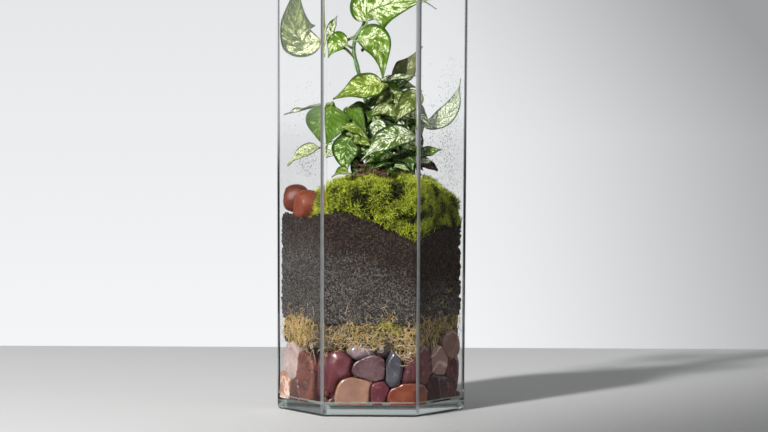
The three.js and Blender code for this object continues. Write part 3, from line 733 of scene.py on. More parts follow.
# The soil is darker and browner near its top, and the dark band reaches deeper down towards the right:
# there it is painted shade, on the side away from the lamp.
SHADE_SLANT = 0.35
slanted_height = dirt.math("MULTIPLY_ADD", dirt.axis(dirt_place, "X"), SHADE_SLANT, dirt.axis(dirt_place, "Z"))
top_band_and_right_shade = dirt.ramp(dirt.math("MULTIPLY_ADD", patch, 30 * MM, slanted_height), 92 * MM, 118 * MM)
dirt_colour = dirt.mix(top_band_and_right_shade, dirt_colour, (0.46, 0.35, 0.30), "MULTIPLY")
dirt_height = dirt.math("MULTIPLY_ADD", fine, 0.5, dirt.ramp(crumb_edge, 0.0, 0.35))
set_piece(soil, dirt.close(dirt.shader(
    Base_Color=dirt_colour, Roughness=dirt.ramp(fine, 0.3, 0.7, 0.62, 0.95), Specular_IOR_Level=0.12,
    Normal=dirt.bump(dirt_height, 1.2 * MM))), "dark_soil", "soil")


def scattered(obj, count, chance):
    """Points and normals spread evenly over a piece's surface."""
    mesh = obj.data
    mesh.calc_loop_triangles()
    corners = np.empty(len(mesh.loop_triangles) * 3, dtype=np.int32)
    mesh.loop_triangles.foreach_get("vertices", corners)
    spots = np.empty(len(mesh.vertices) * 3)
    mesh.vertices.foreach_get("co", spots)
    tri = spots.reshape(-1, 3)[corners].reshape(-1, 3, 3)
    normals = np.cross(tri[:, 1] - tri[:, 0], tri[:, 2] - tri[:, 0])
    areas = np.linalg.norm(normals, axis=1)
    chosen = chance.choice(len(tri), size=count, p=areas / areas.sum())
    u, v = chance.random(count), chance.random(count)
    u, v = np.where(u + v > 1, 1 - u, u), np.where(u + v > 1, 1 - v, v)
    t = tri[chosen]
    points = t[:, 0] + (t[:, 1] - t[:, 0]) * u[:, None] + (t[:, 2] - t[:, 0]) * v[:, None]
    return points, normals[chosen] / np.maximum(areas[chosen], 1e-12)[:, None]


chance = np.random.default_rng(11)
crumb_verts, crumb_faces = ball_shape(1)


def crumb_of(chance, size, place):
    """The vertices of one knobbly crumb."""
    turn = any_turn(chance)
    shape = crumb_verts * chance.uniform(0.6, 1.15, (12, 1)) * chance.uniform(0.6, 1.2, 3) * size
    return [Vector(v) for v in shape @ turn + np.array(place)]


grains = []
points, normals = scattered(soil, CRUMBS_TRIED, chance)
for (x, y, z), normal in zip(points, normals):
    on_top = normal[2] > 0.5
    size = min(chance.gamma(3.5, 0.32 if on_top else 0.14), 2.6 if on_top else 1.3) * MM
    if z < 58 * MM or len(grains) > MOST_CRUMBS or behind_glass(x, y, z) <= size * 0.8:
        continue
    if not on_top and abs(normal[2]) > 0.75:
        continue
    verts = crumb_of(chance, size * 0.62, (x, y, z))
    # Crumbs above the same slanted line are half as light: the soil's darker top, and painted shade towards the right.
    shade = float(np.clip(chance.normal(0.42, 0.26), 0, 1) ** 2.4) * (0.5 if z + SHADE_SLANT * x > 94 * MM else 1)
    grains.append((verts, crumb_faces, shade, float(chance.random() < 0.02)))
crumb_finish = strand_finish(
    "soil_crumbs", (0.004, 0.0028, 0.0024), (0.25, 0.205, 0.185), (0.16, 0.15, 0.13), (0.60, 0.57, 0.53))
set_piece(gather("soil_crumbs", grains), crumb_finish, "dark_soil")


# ---------------------------------------------------------------- the carnelians
# Two larger polished carnelians, set by hand on the soil at the left of the moss.

front_look = (0.15, 0.026, 0.009), (0.21, 0.050, 0.020), (0.26, 0.09, 0.045), 0.4, 0.45, 60
back_look = (0.085, 0.014, 0.006), (0.14, 0.032, 0.014), (0.06, 0.010, 0.006), 0.4, 0.35, 60
front_stone = polish_stone("carnelian_front", "red_stone", *front_look, offset=5.1, matt=0.25, shine=0.15)
polish_stone("carnelian_back", "red_stone", *back_look, offset=6.1, matt=0.25, shine=0.15)
# The front one is drawn out to the right, where the moss has grown over its end.
middle = sum(v.co.x for v in front_stone.data.vertices) / len(front_stone.data.vertices)
for vertex in front_stone.data.vertices:
    vertex.co.x += max(0.0, vertex.co.x - middle) * 0.8


# ---------------------------------------------------------------- the moss
# A cushion of living moss laid over the soil round the plant: crowded upright
# shoots with pointed leaflets, painted bright at their tips and dark below, as painted light and shade.

MOUND_MIDDLE = Vector((0.012, 0.001, 0.112))
# Peat shows between the shoots in two patches, round the stems and in front of them.
BARE_BEHIND, BARE_IN_FRONT = Vector((0.007, 0.0, 0.142)), Vector((0.002, -0.015, 0.142))
SHOOTS_TRIED, MOST_SHOOTS = 26000, {"front": 9600, "back": 6500}


def clumps(co):
    """How far the moss swells at a point, from its larger clumps to its small heads."""
    return noise.noise(co * 95) + 0.75 * noise.noise(co * 210 + Vector((5, 2, 8)))


def peat_finish(name, scale, warp, full, dark, light, rough, depth):
    """Matted peat and roots: dark, with lighter fibres."""
    peat = Finish(name)
    fibre = peat.noise(peat.place(), scale, 4, 0.7, warp)
    return peat.close(peat.shader(
        Base_Color=peat.mix(peat.ramp(fibre, 0.4, full), dark, light),
        Roughness=peat.ramp(fibre, 0.3, 0.7, rough, 0.95), Normal=peat.bump(fibre, depth)))


def moss_shoot(chance, root, axis, height, light):
    """An upright shoot of six pointed leaflets, each with painted shade at its root and painted light at its tip."""
    across = axis.orthogonal().normalized()
    across.rotate(Matrix.Rotation(chance.uniform(0, 6.3), 3, axis))
    other = axis.cross(across)
    verts, faces, shades = [], [], []
    painted_brightness = float(np.clip(light + chance.normal(0, 0.2), 0.02, 1))
    for k in range(6):
        turn = 2 * math.pi * k / 6 + chance.uniform(-0.3, 0.3)
        lift = (0.15, 0.55, 0.85)[k % 3]
        side = across * math.cos(turn) + other * math.sin(turn)
        start = root + axis * height * lift * 0.8
        end = start + (axis * 0.75 + side * 0.85).normalized() * height * chance.uniform(0.42, 0.62)
        if k == 0:
            start, end = root, root + axis * height
        wide = axis.cross(side).normalized() * 0.31 * MM
        base = len(verts)
        verts += [start + wide, start - wide, start + side * 0.2 * MM + axis * 0.2 * MM, end]
        # Painted shade at the leaflets' roots, painted light at their tips.
        shades += [painted_brightness * 0.2] * 3 + [min(1.0, painted_brightness * (0.85 + 0.5 * lift))]
        faces += [(base, base + 1, base + 3), (base + 1, base + 2, base + 3), (base + 2, base, base + 3)]
    return verts, faces, shades, float(np.clip(chance.normal(0.25, 0.3), 0, 1))


mound = merged_copy("moss_mound", "moss_cushion")
add_modifier(mound, "REMESH", mode="VOXEL", voxel_size=1.8 * MM)
for vertex in mound.data.vertices:
    co = vertex.co
    vertex.co = co + (co - MOUND_MIDDLE).normalized() * (2.0 * clumps(co) - 2.4) * MM
    # It thins out towards the corners.
    ends = max(0.0, co.x - 32 * MM) * 0.42 + max(0.0, -20 * MM - co.x) * 0.3
    vertex.co.z -= ends * max(0.0, min(1.0, (co.z - 0.115) / 0.015))
shade_round(mound)
moss_bed = peat_finish("moss_bed", 500, 1.0, 0.65, (0.006, 0.007, 0.002), (0.035, 0.040, 0.006), 0.8, 1 * MM)
set_piece(mound, moss_bed, "living_moss", "moss_mound")

chance = np.random.default_rng(23)
shoots = {"front": [], "back": []}
points, normals = scattered(mound, SHOOTS_TRIED, chance)
for (x, y, z), normal in zip(points, normals):
    root, out = Vector((x, y, z)), Vector(normal)
    if (out.z < -0.3 and chance.random() < 0.5) or z < 0.096:
        continue
    if min((root - BARE_BEHIND).length / 1.3, (root - BARE_IN_FRONT).length) < 0.010 and chance.random() < 0.85:
        continue
    swell = clumps(root)
    half = "front" if y < 0 else "back"
    if len(shoots[half]) >= MOST_SHOOTS[half]:
        continue
    axis = (out + Vector(chance.normal(0, 0.35, 3)) + Vector((0, 0, 0.25))).normalized()
    height = (4.2 + 2.0 * swell + chance.uniform(-1.0, 2.4)) * MM
    if height < 1.0 * MM or behind_glass(*(root + axis * height)) <= 0.8 * MM:
        # Against the glass a shoot turns up and inwards, or there is none.
        if behind_glass(x, y, z) <= 1.2 * MM:
            continue
        axis = (axis + Vector((0, 0, 1.2)) - Vector((x, y, 0)).normalized() * 0.8).normalized()
        height = max(height * 0.7, 1.2 * MM)
        if behind_glass(*(root + axis * height)) <= 0.6 * MM:
            continue
    # Painted light and shade: shoots on swelling clumps and low on the cushion are lighter, those in hollows darker.
    low = max(0.0, min(1.0, (0.126 - z) / 0.012))
    shoots[half].append(moss_shoot(chance, root, axis, height, 0.55 + 0.27 * low + 1.15 * swell))
moss_finish = strand_finish(
    "living_moss", (0.006, 0.009, 0.001), (0.68, 0.78, 0.045), (0.009, 0.011, 0.002), (0.50, 0.53, 0.06), 0.6)
for half, parts in shoots.items():
    set_piece(gather("moss_shoots_" + half, parts), moss_finish, "living_moss")


# ---------------------------------------------------------------- the root ball and the stems
# The plant was set with its own plug of peat and roots, whose top shows brown in
# the moss. Three green stems rise from it, the tallest in the middle.

ball = merged_copy("root_ball", "root_plug")
add_modifier(ball, "SUBSURF", levels=2, render_levels=2)
for vertex, normal in with_normals(ball):
    vertex.co += normal * (0.5 * noise.noise(vertex.co * 420)) * MM
plug_finish = peat_finish("root_plug", 520, 2.0, 0.64, (0.02, 0.012, 0.008), (0.16, 0.085, 0.045), 0.75, 0.8 * MM)
set_piece(ball, plug_finish, "roots", "root_ball")

# Peat and old roots are heaped round the foot of the stems: crumbs and fibres by turns.
HEAP_HIGH, HEAP_WIDE, HEAP_Y = 13 * MM, 15 * MM, -17 * MM
HEAP_BITS = 1500
chance = np.random.default_rng(31)
fibres = []
moss_skin = skin_of(mound)
for number in range(HEAP_BITS):
    x, y = chance.normal(0, 7) * MM, chance.normal(-18, 7) * MM
    hit = moss_skin.ray_cast(Vector((x, y, 0.2)), Vector((0, 0, -1)))[0]
    if hit is None:
        continue
    heap = HEAP_HIGH * max(0.0, 1 - (x / HEAP_WIDE) ** 2 - ((y - HEAP_Y) / HEAP_WIDE) ** 2)
    spot = hit + Vector((0, 0, 1.5 * MM + chance.uniform(0.1, 1.0) * heap))
    if number % 2:
        if heap > 0:
            size = chance.uniform(0.4, 1.0) * MM * (1.9 if number % 5 == 0 else 1)
            fibres.append((crumb_of(chance, size, spot), crumb_faces, float(chance.uniform(0, 0.35)), 0.0))
        continue
    heading, path = chance.uniform(0, 6.3), []
    for step in range(7):
        path.append(spot.copy())
        onward = Vector((math.cos(heading), math.sin(heading), 0.25 * math.sin(1.3 * step + heading)))
        spot += onward * chance.uniform(0.8, 1.6) * MM
        heading += chance.normal(0, 0.5)
    verts, faces = round_strand(path, [0.2 * MM * (1 - 0.09 * i) for i in range(7)], 3)
    fibres.append((verts, faces, float(np.clip(chance.normal(0.4, 0.3), 0, 1)), float(chance.random() < 0.2)))
# One pale straw lies across the moss at the right, close to the glass.
straw = [by_the_glass(math.radians(-43 + 0.9 * i), (103 + 2.2 * i - 0.06 * i * i) * MM, 1.3 * MM) for i in range(8)]
fibres.append((*round_strand(straw, [0.24 * MM] * 8, 4), 0.9, 1.0))
fibre_finish = strand_finish(
    "root_fibres", (0.03, 0.014, 0.008), (0.30, 0.15, 0.08), (0.16, 0.12, 0.06), (0.55, 0.45, 0.28))
set_piece(gather("root_fibres", fibres), fibre_finish, "roots")

for node in ("stem_main", "stem_right", "stem_left"):
    stem = merged_copy(node, node + "_stalk")
    add_modifier(stem, "SUBSURF", levels=1, render_levels=1)
    for vertex, normal in with_normals(stem):
        # A faint swelling every 20 mm or so marks the joints.
        ring = max(0.0, math.sin(vertex.co.z * 2 * math.pi / (21 * MM))) ** 8
        vertex.co += normal * 0.3 * MM * ring
    shade_round(stem)
    green = Finish(node + "_green")
    green_place = green.place()
    streak = green.noise(green_place, 260, 3, 0.6, 0.4)
    stem_colour = green.mix(green.ramp(streak, 0.35, 0.65), (0.05, 0.10, 0.03), (0.14, 0.24, 0.08))
    # Its foot is brown.
    above = green.ramp(green.axis(green_place, "Z"), 0.13, 0.2)
    stem_colour = green.mix(above, (0.06, 0.04, 0.02), stem_colour)
    set_piece(stem, green.close(green.shader(
        Base_Color=stem_colour, Roughness=green.ramp(streak, 0.3, 0.7, 0.4, 0.6), Normal=green.bump(streak, 0.4 * MM),
        Subsurface_Weight=0.2, Subsurface_Radius=(0.6, 1, 0.3), Subsurface_Scale=2 * MM)), "green_stem", node)


# ---------------------------------------------------------------- the leaves
# Soft oval leaves with a pointed tip, splashed with cream between green veins.
# Each grows on a thin stalk, its blade folded along the midrib and wavy at the edge.

# The middle of each stem, in millimetres, from its root to its tip.
STEM_LINES = {
    "main": ((7, 0, 129), (5, 1, 150), (2, 2, 168), (-3, 2, 190), (-9.6, 1, 216), (-12.4, 1, 230),
             (-5.4, 2, 240), (-3.4, 4, 247)),
    "right": ((12, 3, 128), (17, 4, 150), (20, 4, 168), (22, 4, 186), (23, 6, 202)),
    "left": ((2.5, -3, 128), (-4, -2, 148), (-13, 0, 166), (-21, 1, 184), (-25, 2, 192)),
}


def stem_points(knots):
    """A close row of points on the smooth line through the knots, with equal steps."""
    knots = [Vector(k) for k in knots]
    ends = [knots[0] * 2 - knots[1], *knots, knots[-1] * 2 - knots[-2]]
    row = []
    for a, b, c, d in zip(ends, ends[1:], ends[2:], ends[3:]):
        t0, t1 = 0.0, max((b - a).length ** 0.5, 1e-4)
        t2 = t1 + (c - b).length ** 0.5
        t3 = t2 + max((d - c).length ** 0.5, 1e-4)
        for i in range(40):
            t = t1 + (t2 - t1) * i / 40
            p, q, r = (
                x * ((e - t) / (e - s)) + y * ((t - s) / (e - s))
                for x, y, s, e in ((a, b, t0, t1), (b, c, t1, t2), (c, d, t2, t3))
            )
            p = p * ((t2 - t) / (t2 - t0)) + q * ((t - t0) / (t2 - t0))
            q = q * ((t3 - t) / (t3 - t1)) + r * ((t - t1) / (t3 - t1))
            row.append(p * ((t2 - t) / (t2 - t1)) + q * ((t - t1) / (t2 - t1)))
    row.append(knots[-1])
    lengths = np.concatenate([[0], np.cumsum([(b - a).length for a, b in zip(row, row[1:])])])
    return lambda share: row[int(np.argmin(np.abs(lengths - share * lengths[-1])))] * MM


stem_at = {name: stem_points(knots) for name, knots in STEM_LINES.items()}

pattern = Finish("leaf_figure", "Group")
inside = pattern.into.outputs
for name, kind, default in (
    ("UV", "v", (0, 0, 0)), ("Length", "f", 30.0), ("Width", "f", 20.0), ("Cream", "f", 0.5), ("Fade", "f", 0.0),
    ("Seed", "f", 0.0),
):
    pattern.takes(name, kind, default)
across = pattern.axis(inside["UV"], "X")
along = pattern.axis(inside["UV"], "Y")
centred = pattern.math("SUBTRACT", across, 0.5)
off = pattern.math("MULTIPLY", pattern.math("ABSOLUTE", centred), 2.0)
flat = pattern.node(
    "CombineXYZ", X=pattern.math("MULTIPLY", centred, inside["Width"]),
    Y=pattern.math("MULTIPLY", along, inside["Length"]), Z=inside["Seed"])
# Side veins leave the midrib and sweep towards the tip.
sweep = pattern.math("SUBTRACT", along, pattern.math("MULTIPLY", pattern.math("POWER", off, 0.8), 0.26))
ribs = pattern.math("MULTIPLY_ADD", pattern.noise(flat, 0.3, 1), 0.5, pattern.math("MULTIPLY", sweep, 8.0))
ribs = pattern.math("PINGPONG", ribs, 0.5)
# The green blotches run out along the side veins, with another set on each half of the blade.
streaky = pattern.node(
    "CombineXYZ", X=pattern.math("MULTIPLY", pattern.math("MULTIPLY", sweep, inside["Length"]), 0.36),
    Y=pattern.math("MULTIPLY", pattern.math("MULTIPLY", off, inside["Width"]), 0.09),
    Z=pattern.math("MULTIPLY_ADD", pattern.math("SIGN", centred), 7.0, inside["Seed"]))
streaks = pattern.noise(streaky, 1.0, 3, 0.62, 0.5)
splash = pattern.noise(flat, 0.13, 3, 0.62, 0.6)
fleck = pattern.noise(flat, 0.8, 3, 0.65)
margin = pattern.ramp(pattern.math("MULTIPLY_ADD", fleck, 0.16, off), 0.88, 0.99)
field = pattern.math("MULTIPLY_ADD", streaks, 0.55, pattern.math("MULTIPLY", splash, 0.45))
field = pattern.math("MULTIPLY_ADD", fleck, 0.16, pattern.math("SUBTRACT", field, 0.08))
field = pattern.math("MULTIPLY_ADD", margin, 0.10, field)
# Where the field lies below the line that the share of cream draws, the blade is cream.
share = pattern.math("MULTIPLY_ADD", pattern.math("SUBTRACT", along, 0.5), inside["Fade"], inside["Cream"])
line = pattern.math("MULTIPLY_ADD", pattern.math("SUBTRACT", share, 0.5), 0.36, 0.5)
field = pattern.math("SUBTRACT", field, line)
specks = pattern.ramp(pattern.noise(flat, 1.1, 2, 0.6), 0.535, 0.575, 1, 0.05)
broken = pattern.ramp(pattern.noise(flat, 0.35, 2), 0.40, 0.47)
lines = pattern.math("MULTIPLY", pattern.ramp(ribs, 0.02, 0.11, 1, 0), broken)
cream = pattern.math("MULTIPLY", pattern.ramp(field, -0.014, 0.014, 1, 0), specks)
cream = pattern.math("MULTIPLY", cream, pattern.math("SUBTRACT", 1.0, pattern.math("MULTIPLY", lines, 0.95)))
pattern.gives("Cream", "f", pattern.math("MULTIPLY", cream, pattern.ramp(off, 0.012, 0.05)))
deep_green = pattern.ramp(pattern.math("MULTIPLY_ADD", fleck, 0.3, field), 0.16, 0.27, 0, 0.8)
veins = pattern.math("MAXIMUM", deep_green, pattern.ramp(ribs, 0.02, 0.12, 0.9, 0))
veins = pattern.math("MAXIMUM", veins, pattern.ramp(off, 0.01, 0.06, 0.5, 0))
pattern.gives("Veins", "f", veins)
pattern.gives("Margin", "f", margin)
pattern.gives("Fleck", "f", fleck)
pattern.gives("Along", "f", along)
puckered = pattern.math("MULTIPLY", pattern.noise(flat, 0.45, 2), 1.5)
pattern.gives("Height", "f", pattern.math("ADD", pattern.ramp(ribs, 0.0, 0.25), puckered))

# The green, its lighter flecks, the cream, and the colour of the veins.
TONES = {
    "olive_cream": ((0.035, 0.060, 0.007), (0.25, 0.30, 0.06), (0.88, 0.90, 0.56), (0.012, 0.030, 0.004)),
    "fresh": ((0.10, 0.21, 0.010), (0.30, 0.43, 0.04), (0.86, 0.90, 0.60), (0.035, 0.09, 0.008)),
    "cream": ((0.075, 0.14, 0.015), (0.22, 0.30, 0.06), (0.88, 0.90, 0.70), (0.02, 0.05, 0.008)),
    "yellow": ((0.12, 0.20, 0.010), (0.38, 0.46, 0.06), (0.76, 0.80, 0.36), (0.045, 0.09, 0.010)),
    "plain": ((0.085, 0.165, 0.010), (0.19, 0.29, 0.022), (0.44, 0.56, 0.16), (0.05, 0.12, 0.01)),
    # The shade tone is a darker copy of the green, for leaves in the others' shade: painted shade.
    "shade": ((0.038, 0.080, 0.010), (0.105, 0.18, 0.030), (0.54, 0.64, 0.34), (0.014, 0.030, 0.006)),
    "deep": ((0.065, 0.14, 0.012), (0.17, 0.29, 0.035), (0.66, 0.76, 0.40), (0.02, 0.05, 0.010)),
    "olive": ((0.13, 0.18, 0.022), (0.30, 0.35, 0.08), (0.74, 0.78, 0.46), (0.035, 0.055, 0.010)),
    "brown": ((0.24, 0.25, 0.10), (0.44, 0.45, 0.22), (0.72, 0.73, 0.48), (0.05, 0.055, 0.015)),
    "old": ((0.10, 0.035, 0.025), (0.16, 0.08, 0.05), (0.22, 0.14, 0.10), (0.05, 0.02, 0.015)),
}

# Name, stem, how far up it, blade base, bend and tip, half width, facing, fold in degrees, cream share, tone.
LEAVES = (
    ("crown", "main", 1, (4, 9, 256), (14, 10, 268), (39, 4, 251), 6.5, (0, -0.6, 1), 14, 0.5, "fresh"),
    ("top", "main", 0.93, (-3.6, -3, 243), (-7, -6, 254), (37, -8, 257), 14.5, (0.1, -1, 0.2), 8, 0.5, "fresh"),
    ("big_left", "main", 0.76, (-31, -2, 231), (-55, -2, 222), (-44, -1, 270), 12.6, (0, -1, 0.25), 12,
     0.45, "olive_cream", -0.4),
    ("curled", "main", 0.88, (-27, 6, 231), (-26, 7, 240), (-22, 8, 247), 3.4, (-0.5, -1, 0.2), 28, 0.6, "cream"),
    ("small_left", "main", 0.81, (-16, -3, 228.6), (-22, -6, 233.6), (-27.4, -7.4, 220), 7.4,
     (0, -0.9, 0.6), 16, 0.42, "fresh"),
    ("arching", "main", 0.855, (-9, -5, 231), (6, -10, 238), (7, -15, 207), 10.5, (0.2, -1, 0.4), 10, 0.39, "fresh"),
    ("yellow_green", "main", 0.55, (8, -12, 203.6), (-5, -18, 204), (-24, -20, 194), 8.8, (0, -1, 0.5),
     10, 0.42, "yellow"),
    ("upper_right", "right", 1, (12, 8, 206), (22, 7, 208), (30, 4, 228), 8.6, (-0.5, -1, 0.5), 14, 0.12, "brown"),
    ("dark_tip", "right", 0.97, (8, 2, 199), (18, -1, 204), (29, -3, 201.6), 6, (0, -0.8, 0.9), 18, 0.35, "shade"),
    ("olive", "right", 0.85, (23, -8, 190.2), (11, -12, 195.4), (-1, -14, 183), 10.2, (0, -1, 0.35), 14, 0.28, "olive"),
    ("brown_olive", "right", 0.92, (29, -9, 199), (22, -21, 193), (15, -25, 180), 6.6, (0.4, -1, 0.4),
     12, 0.3, "olive"),
    ("long_right", "right", 0.6, (31, -1, 178), (51.4, -1, 180), (54.2, -0.4, 208), 6.4,
     (-0.5, -1, 0.3), 8, 0.62, "cream"),
    ("level_left", "left", 1, (-31, 4, 191), (-42, 4, 188.6), (-54, 1, 184.6), 6.4, (0, -0.12, 1), 6, 0.5, "cream"),
    ("round", "left", 0.97, (-25, -9, 190.5), (-28, -11.5, 178), (-29, -12, 165), 13, (0, -1, 0.15), 10, 0.12, "plain"),
    ("low_left", "left", 0.72, (-31, -10, 164), (-43, -12, 162), (-51, -6, 152.4), 5.2, (0, -0.7, 0.8),
     24, 0.48, "olive"),
    ("cream", "left", 0.6, (-20, -15.6, 167), (-24, -17.4, 163.6), (-28.6, -18, 157.4), 4.8,
     (0, -1, 0.5), 14, 0.62, "cream"),
    ("dotted", "left", 0.5, (-12.6, -18, 170), (-19, -24, 163), (-14.6, -26, 147.8), 8.6, (0, -1, 0.3),
     12, 0.24, "deep"),
    ("near_moss", "left", 0.36, (-12, -31, 148), (-17, -36, 151.6), (-24, -37, 146), 4.6, (0, -0.6, 1),
     16, 0.4, "yellow"),
    ("small_centre", "right", 0.63, (2, -18, 181), (5, -22, 177), (6.4, -25, 162), 5.6, (0, -1, 0.3),
     14, 0.55, "cream"),
    ("dark_centre", "main", 0.46, (-3, -5, 190), (-8, -9, 187), (-9.4, -11, 170), 8.2, (0, -1, 0.4), 12, 0.2, "deep"),
    ("cream_wide", "right", 0.55, (27, -20, 171), (13, -29, 176), (-6.6, -32, 156), 9, (0, -0.9, 0.7),
     12, 0.5, "cream"),
    ("pointed_right", "right", 0.42, (24, -9, 157), (33, -10, 162), (43, -9, 163), 5.6, (0, -0.7, 0.9),
     16, 0.45, "fresh"),
    ("dark_low", "main", 0.15, (11, -17, 159), (5, -22, 158), (-4, -26, 149.4), 8.2, (0, -0.8, 0.8), 10, 0.15, "shade"),
    ("dark_right", "right", 0.3, (18, -12, 160), (22, -20, 162), (26, -30, 149.6), 9.4, (0, -0.8, 0.7),
     10, 0.18, "shade"),
    ("old_right", "right", 0.2, (26, 0, 152), (33, -3, 155), (40, -8, 150), 6.2, (0, -0.6, 1), 14, 0.1, "old"),
)


def leaf_finish(tone, fade):
    """What all leaves of a tone share; each blade brings its own length, width, share of cream and seed."""
    green, fleck, pale, vein = TONES[tone]
    leaf = Finish("leaf_" + tone)
    own = {
        key: leaf.node("Attribute", "Fac", {"attribute_name": "leaf_" + key.lower()})
        for key in ("Length", "Width", "Cream", "Seed")
    }
    made = leaf.group(pattern, UV=leaf.node("UVMap"), Fade=fade, **own)
    colour = leaf.mix(leaf.ramp(made["Fleck"], 0.4, 0.62), green, fleck)
    colour = leaf.mix(leaf.math("MULTIPLY", made["Veins"], 0.75), colour, vein)
    pale_here = pale
    if fade < 0:
        # Such a leaf loses its cream towards the tip.
        pale_here = leaf.mix(leaf.ramp(made["Along"], 0.35, 0.62, 0, min(0.88, -2.2 * fade)), pale, fleck)
    colour = leaf.mix(made["Cream"], colour, pale_here)
    colour = leaf.mix(leaf.math("MULTIPLY", made["Margin"], 0.85), colour, vein)
    stalk_colour = fleck if tone in ("shade", "old") else tuple(0.6 * a + 0.4 * b for a, b in zip(fleck, pale))
    colour = leaf.mix(leaf.node("Attribute", "Fac", {"attribute_name": "stalk"}), colour, stalk_colour)
    face = leaf.shader(
        Base_Color=colour, Roughness=leaf.ramp(made["Fleck"], 0.35, 0.65, 0.38, 0.55),
        Normal=leaf.bump(made["Height"], 0.35 * MM, 0.8), IOR=1.45, Specular_IOR_Level=0.25)
    return leaf.close(leaf.blend(0.3, face, leaf.node("BsdfTranslucent", Color=colour)))


def on_curve(a, b, c, t):
    return a * (1 - t) ** 2 + b * (2 * t * (1 - t)) + c * t * t


def mark(piece, name, value):
    """Gives all of a piece's vertices one number, which its material reads."""
    values = piece.data.attributes.new(name, "FLOAT", "POINT").data
    values.foreach_set("value", [value] * len(values))


leaf_finishes = {}


def grow_leaf(order, name, stem, along, base, bend, tip, half, facing, fold, cream, tone, fade=0.0, extra=False):
    """A leaf on its stalk. An extra one stands for no part of the frame."""
    base, bend, tip, facing = Vector(base) * MM, Vector(bend) * MM, Vector(tip) * MM, Vector(facing)
    half *= MM
    rise = math.tan(math.radians(fold))
    phase = 1.7 * order

    def spot(s, t, lift=0.0):
        """The point of the blade at s of its length and t of its half width."""
        middle = on_curve(base, bend, tip, s)
        tangent = ((bend - base) * (1 - s) + (tip - bend) * s).normalized()
        normal = (facing - tangent * facing.dot(tangent)).normalized()
        side = tangent.cross(normal)
        uneven = 1 + 0.09 * noise.noise(Vector((4 * s, 2 * (t > 0), phase)))
        width = half * math.sin(math.pi * s**0.72) ** (0.85 + 0.5 * s) * uneven
        wave = (0.11 * math.sin(9 * s + phase) + 0.06 * math.sin(17 * s + 2.3 * phase)) * t * t * half
        wave *= 1 if t > 0 else -0.8
        crown = -0.10 * width * math.sin(math.pi * abs(t))
        between_veins = math.cos(2 * math.pi * (8 * (s - 0.26 * abs(t) ** 0.8)))
        pucker = 0.018 * half * between_veins * math.sin(math.pi * min(1, abs(t) * 1.1))
        crumple = 0.13 * half * noise.noise(Vector((2.6 * s, 1.3 * t, phase))) * min(1.0, 4 * s)
        up = width * abs(t) * rise * 0.9 + wave + crown + pucker + crumple + lift
        return middle + side * (width * t) + normal * up

    bpy.ops.object.select_all(action="DESELECT")
    bpy.ops.mesh.primitive_grid_add(x_subdivisions=18, y_subdivisions=30, size=2)
    blade = bpy.context.object
    blade.name = "leaf_" + name + "_blade"
    for vertex in blade.data.vertices:
        t, s = vertex.co.x, (vertex.co.y + 1) / 2
        vertex.co = spot(0.003 + 0.994 * s, t)
    take_hold(blade, "EDIT")
    bpy.ops.mesh.select_all(action="SELECT")
    bpy.ops.mesh.normals_make_consistent(inside=False)
    bpy.ops.object.mode_set(mode="OBJECT")
    add_modifier(blade, "SOLIDIFY", thickness=0.34 * MM, offset=0.0)

    # The stalk leaves the stem and runs on under the blade as its midrib.
    start = stem_at[stem](along)
    lead = base + (base - bend).normalized() * 0.35 * (start - base).length
    path = [on_curve(start, lead, base, i / 9) for i in range(10)]
    path += [spot(0.06 + 0.1 * i, 0, -0.25 * MM) for i in range(8)]
    radii = [(0.95 - 0.03 * i) * MM for i in range(10)] + [(0.6 - 0.065 * i) * MM for i in range(8)]
    verts, faces = round_strand(path, radii, 8)
    stalk_mesh = bpy.data.meshes.new(name)
    stalk_mesh.from_pydata(verts, [], faces)
    stalk_mesh.uv_layers.new(name=blade.data.uv_layers[0].name)
    stalk = bpy.data.objects.new(name, stalk_mesh)
    bpy.context.scene.collection.objects.link(stalk)
    mark(blade, "stalk", 0.0)
    mark(stalk, "stalk", 1.0)
    take_hold(blade)
    stalk.select_set(True)
    bpy.ops.object.join()
    bpy.ops.object.shade_smooth()

    mark(blade, "leaf_length", (tip - base).length / MM * 1.1)
    mark(blade, "leaf_width", 2 * half / MM)
    mark(blade, "leaf_seed", 3.3 * order)
    mark(blade, "leaf_cream", cream + (0.14 if tone in ("shade", "deep", "olive", "brown") else 0.03))
    if tone not in leaf_finishes:
        leaf_finishes[tone] = leaf_finish(tone, fade)
    set_piece(blade, leaf_finishes[tone], "variegated_leaf", *([] if extra else ["leaf_" + name]))


for order, row in enumerate(LEAVES):
    grow_leaf(order, *row)

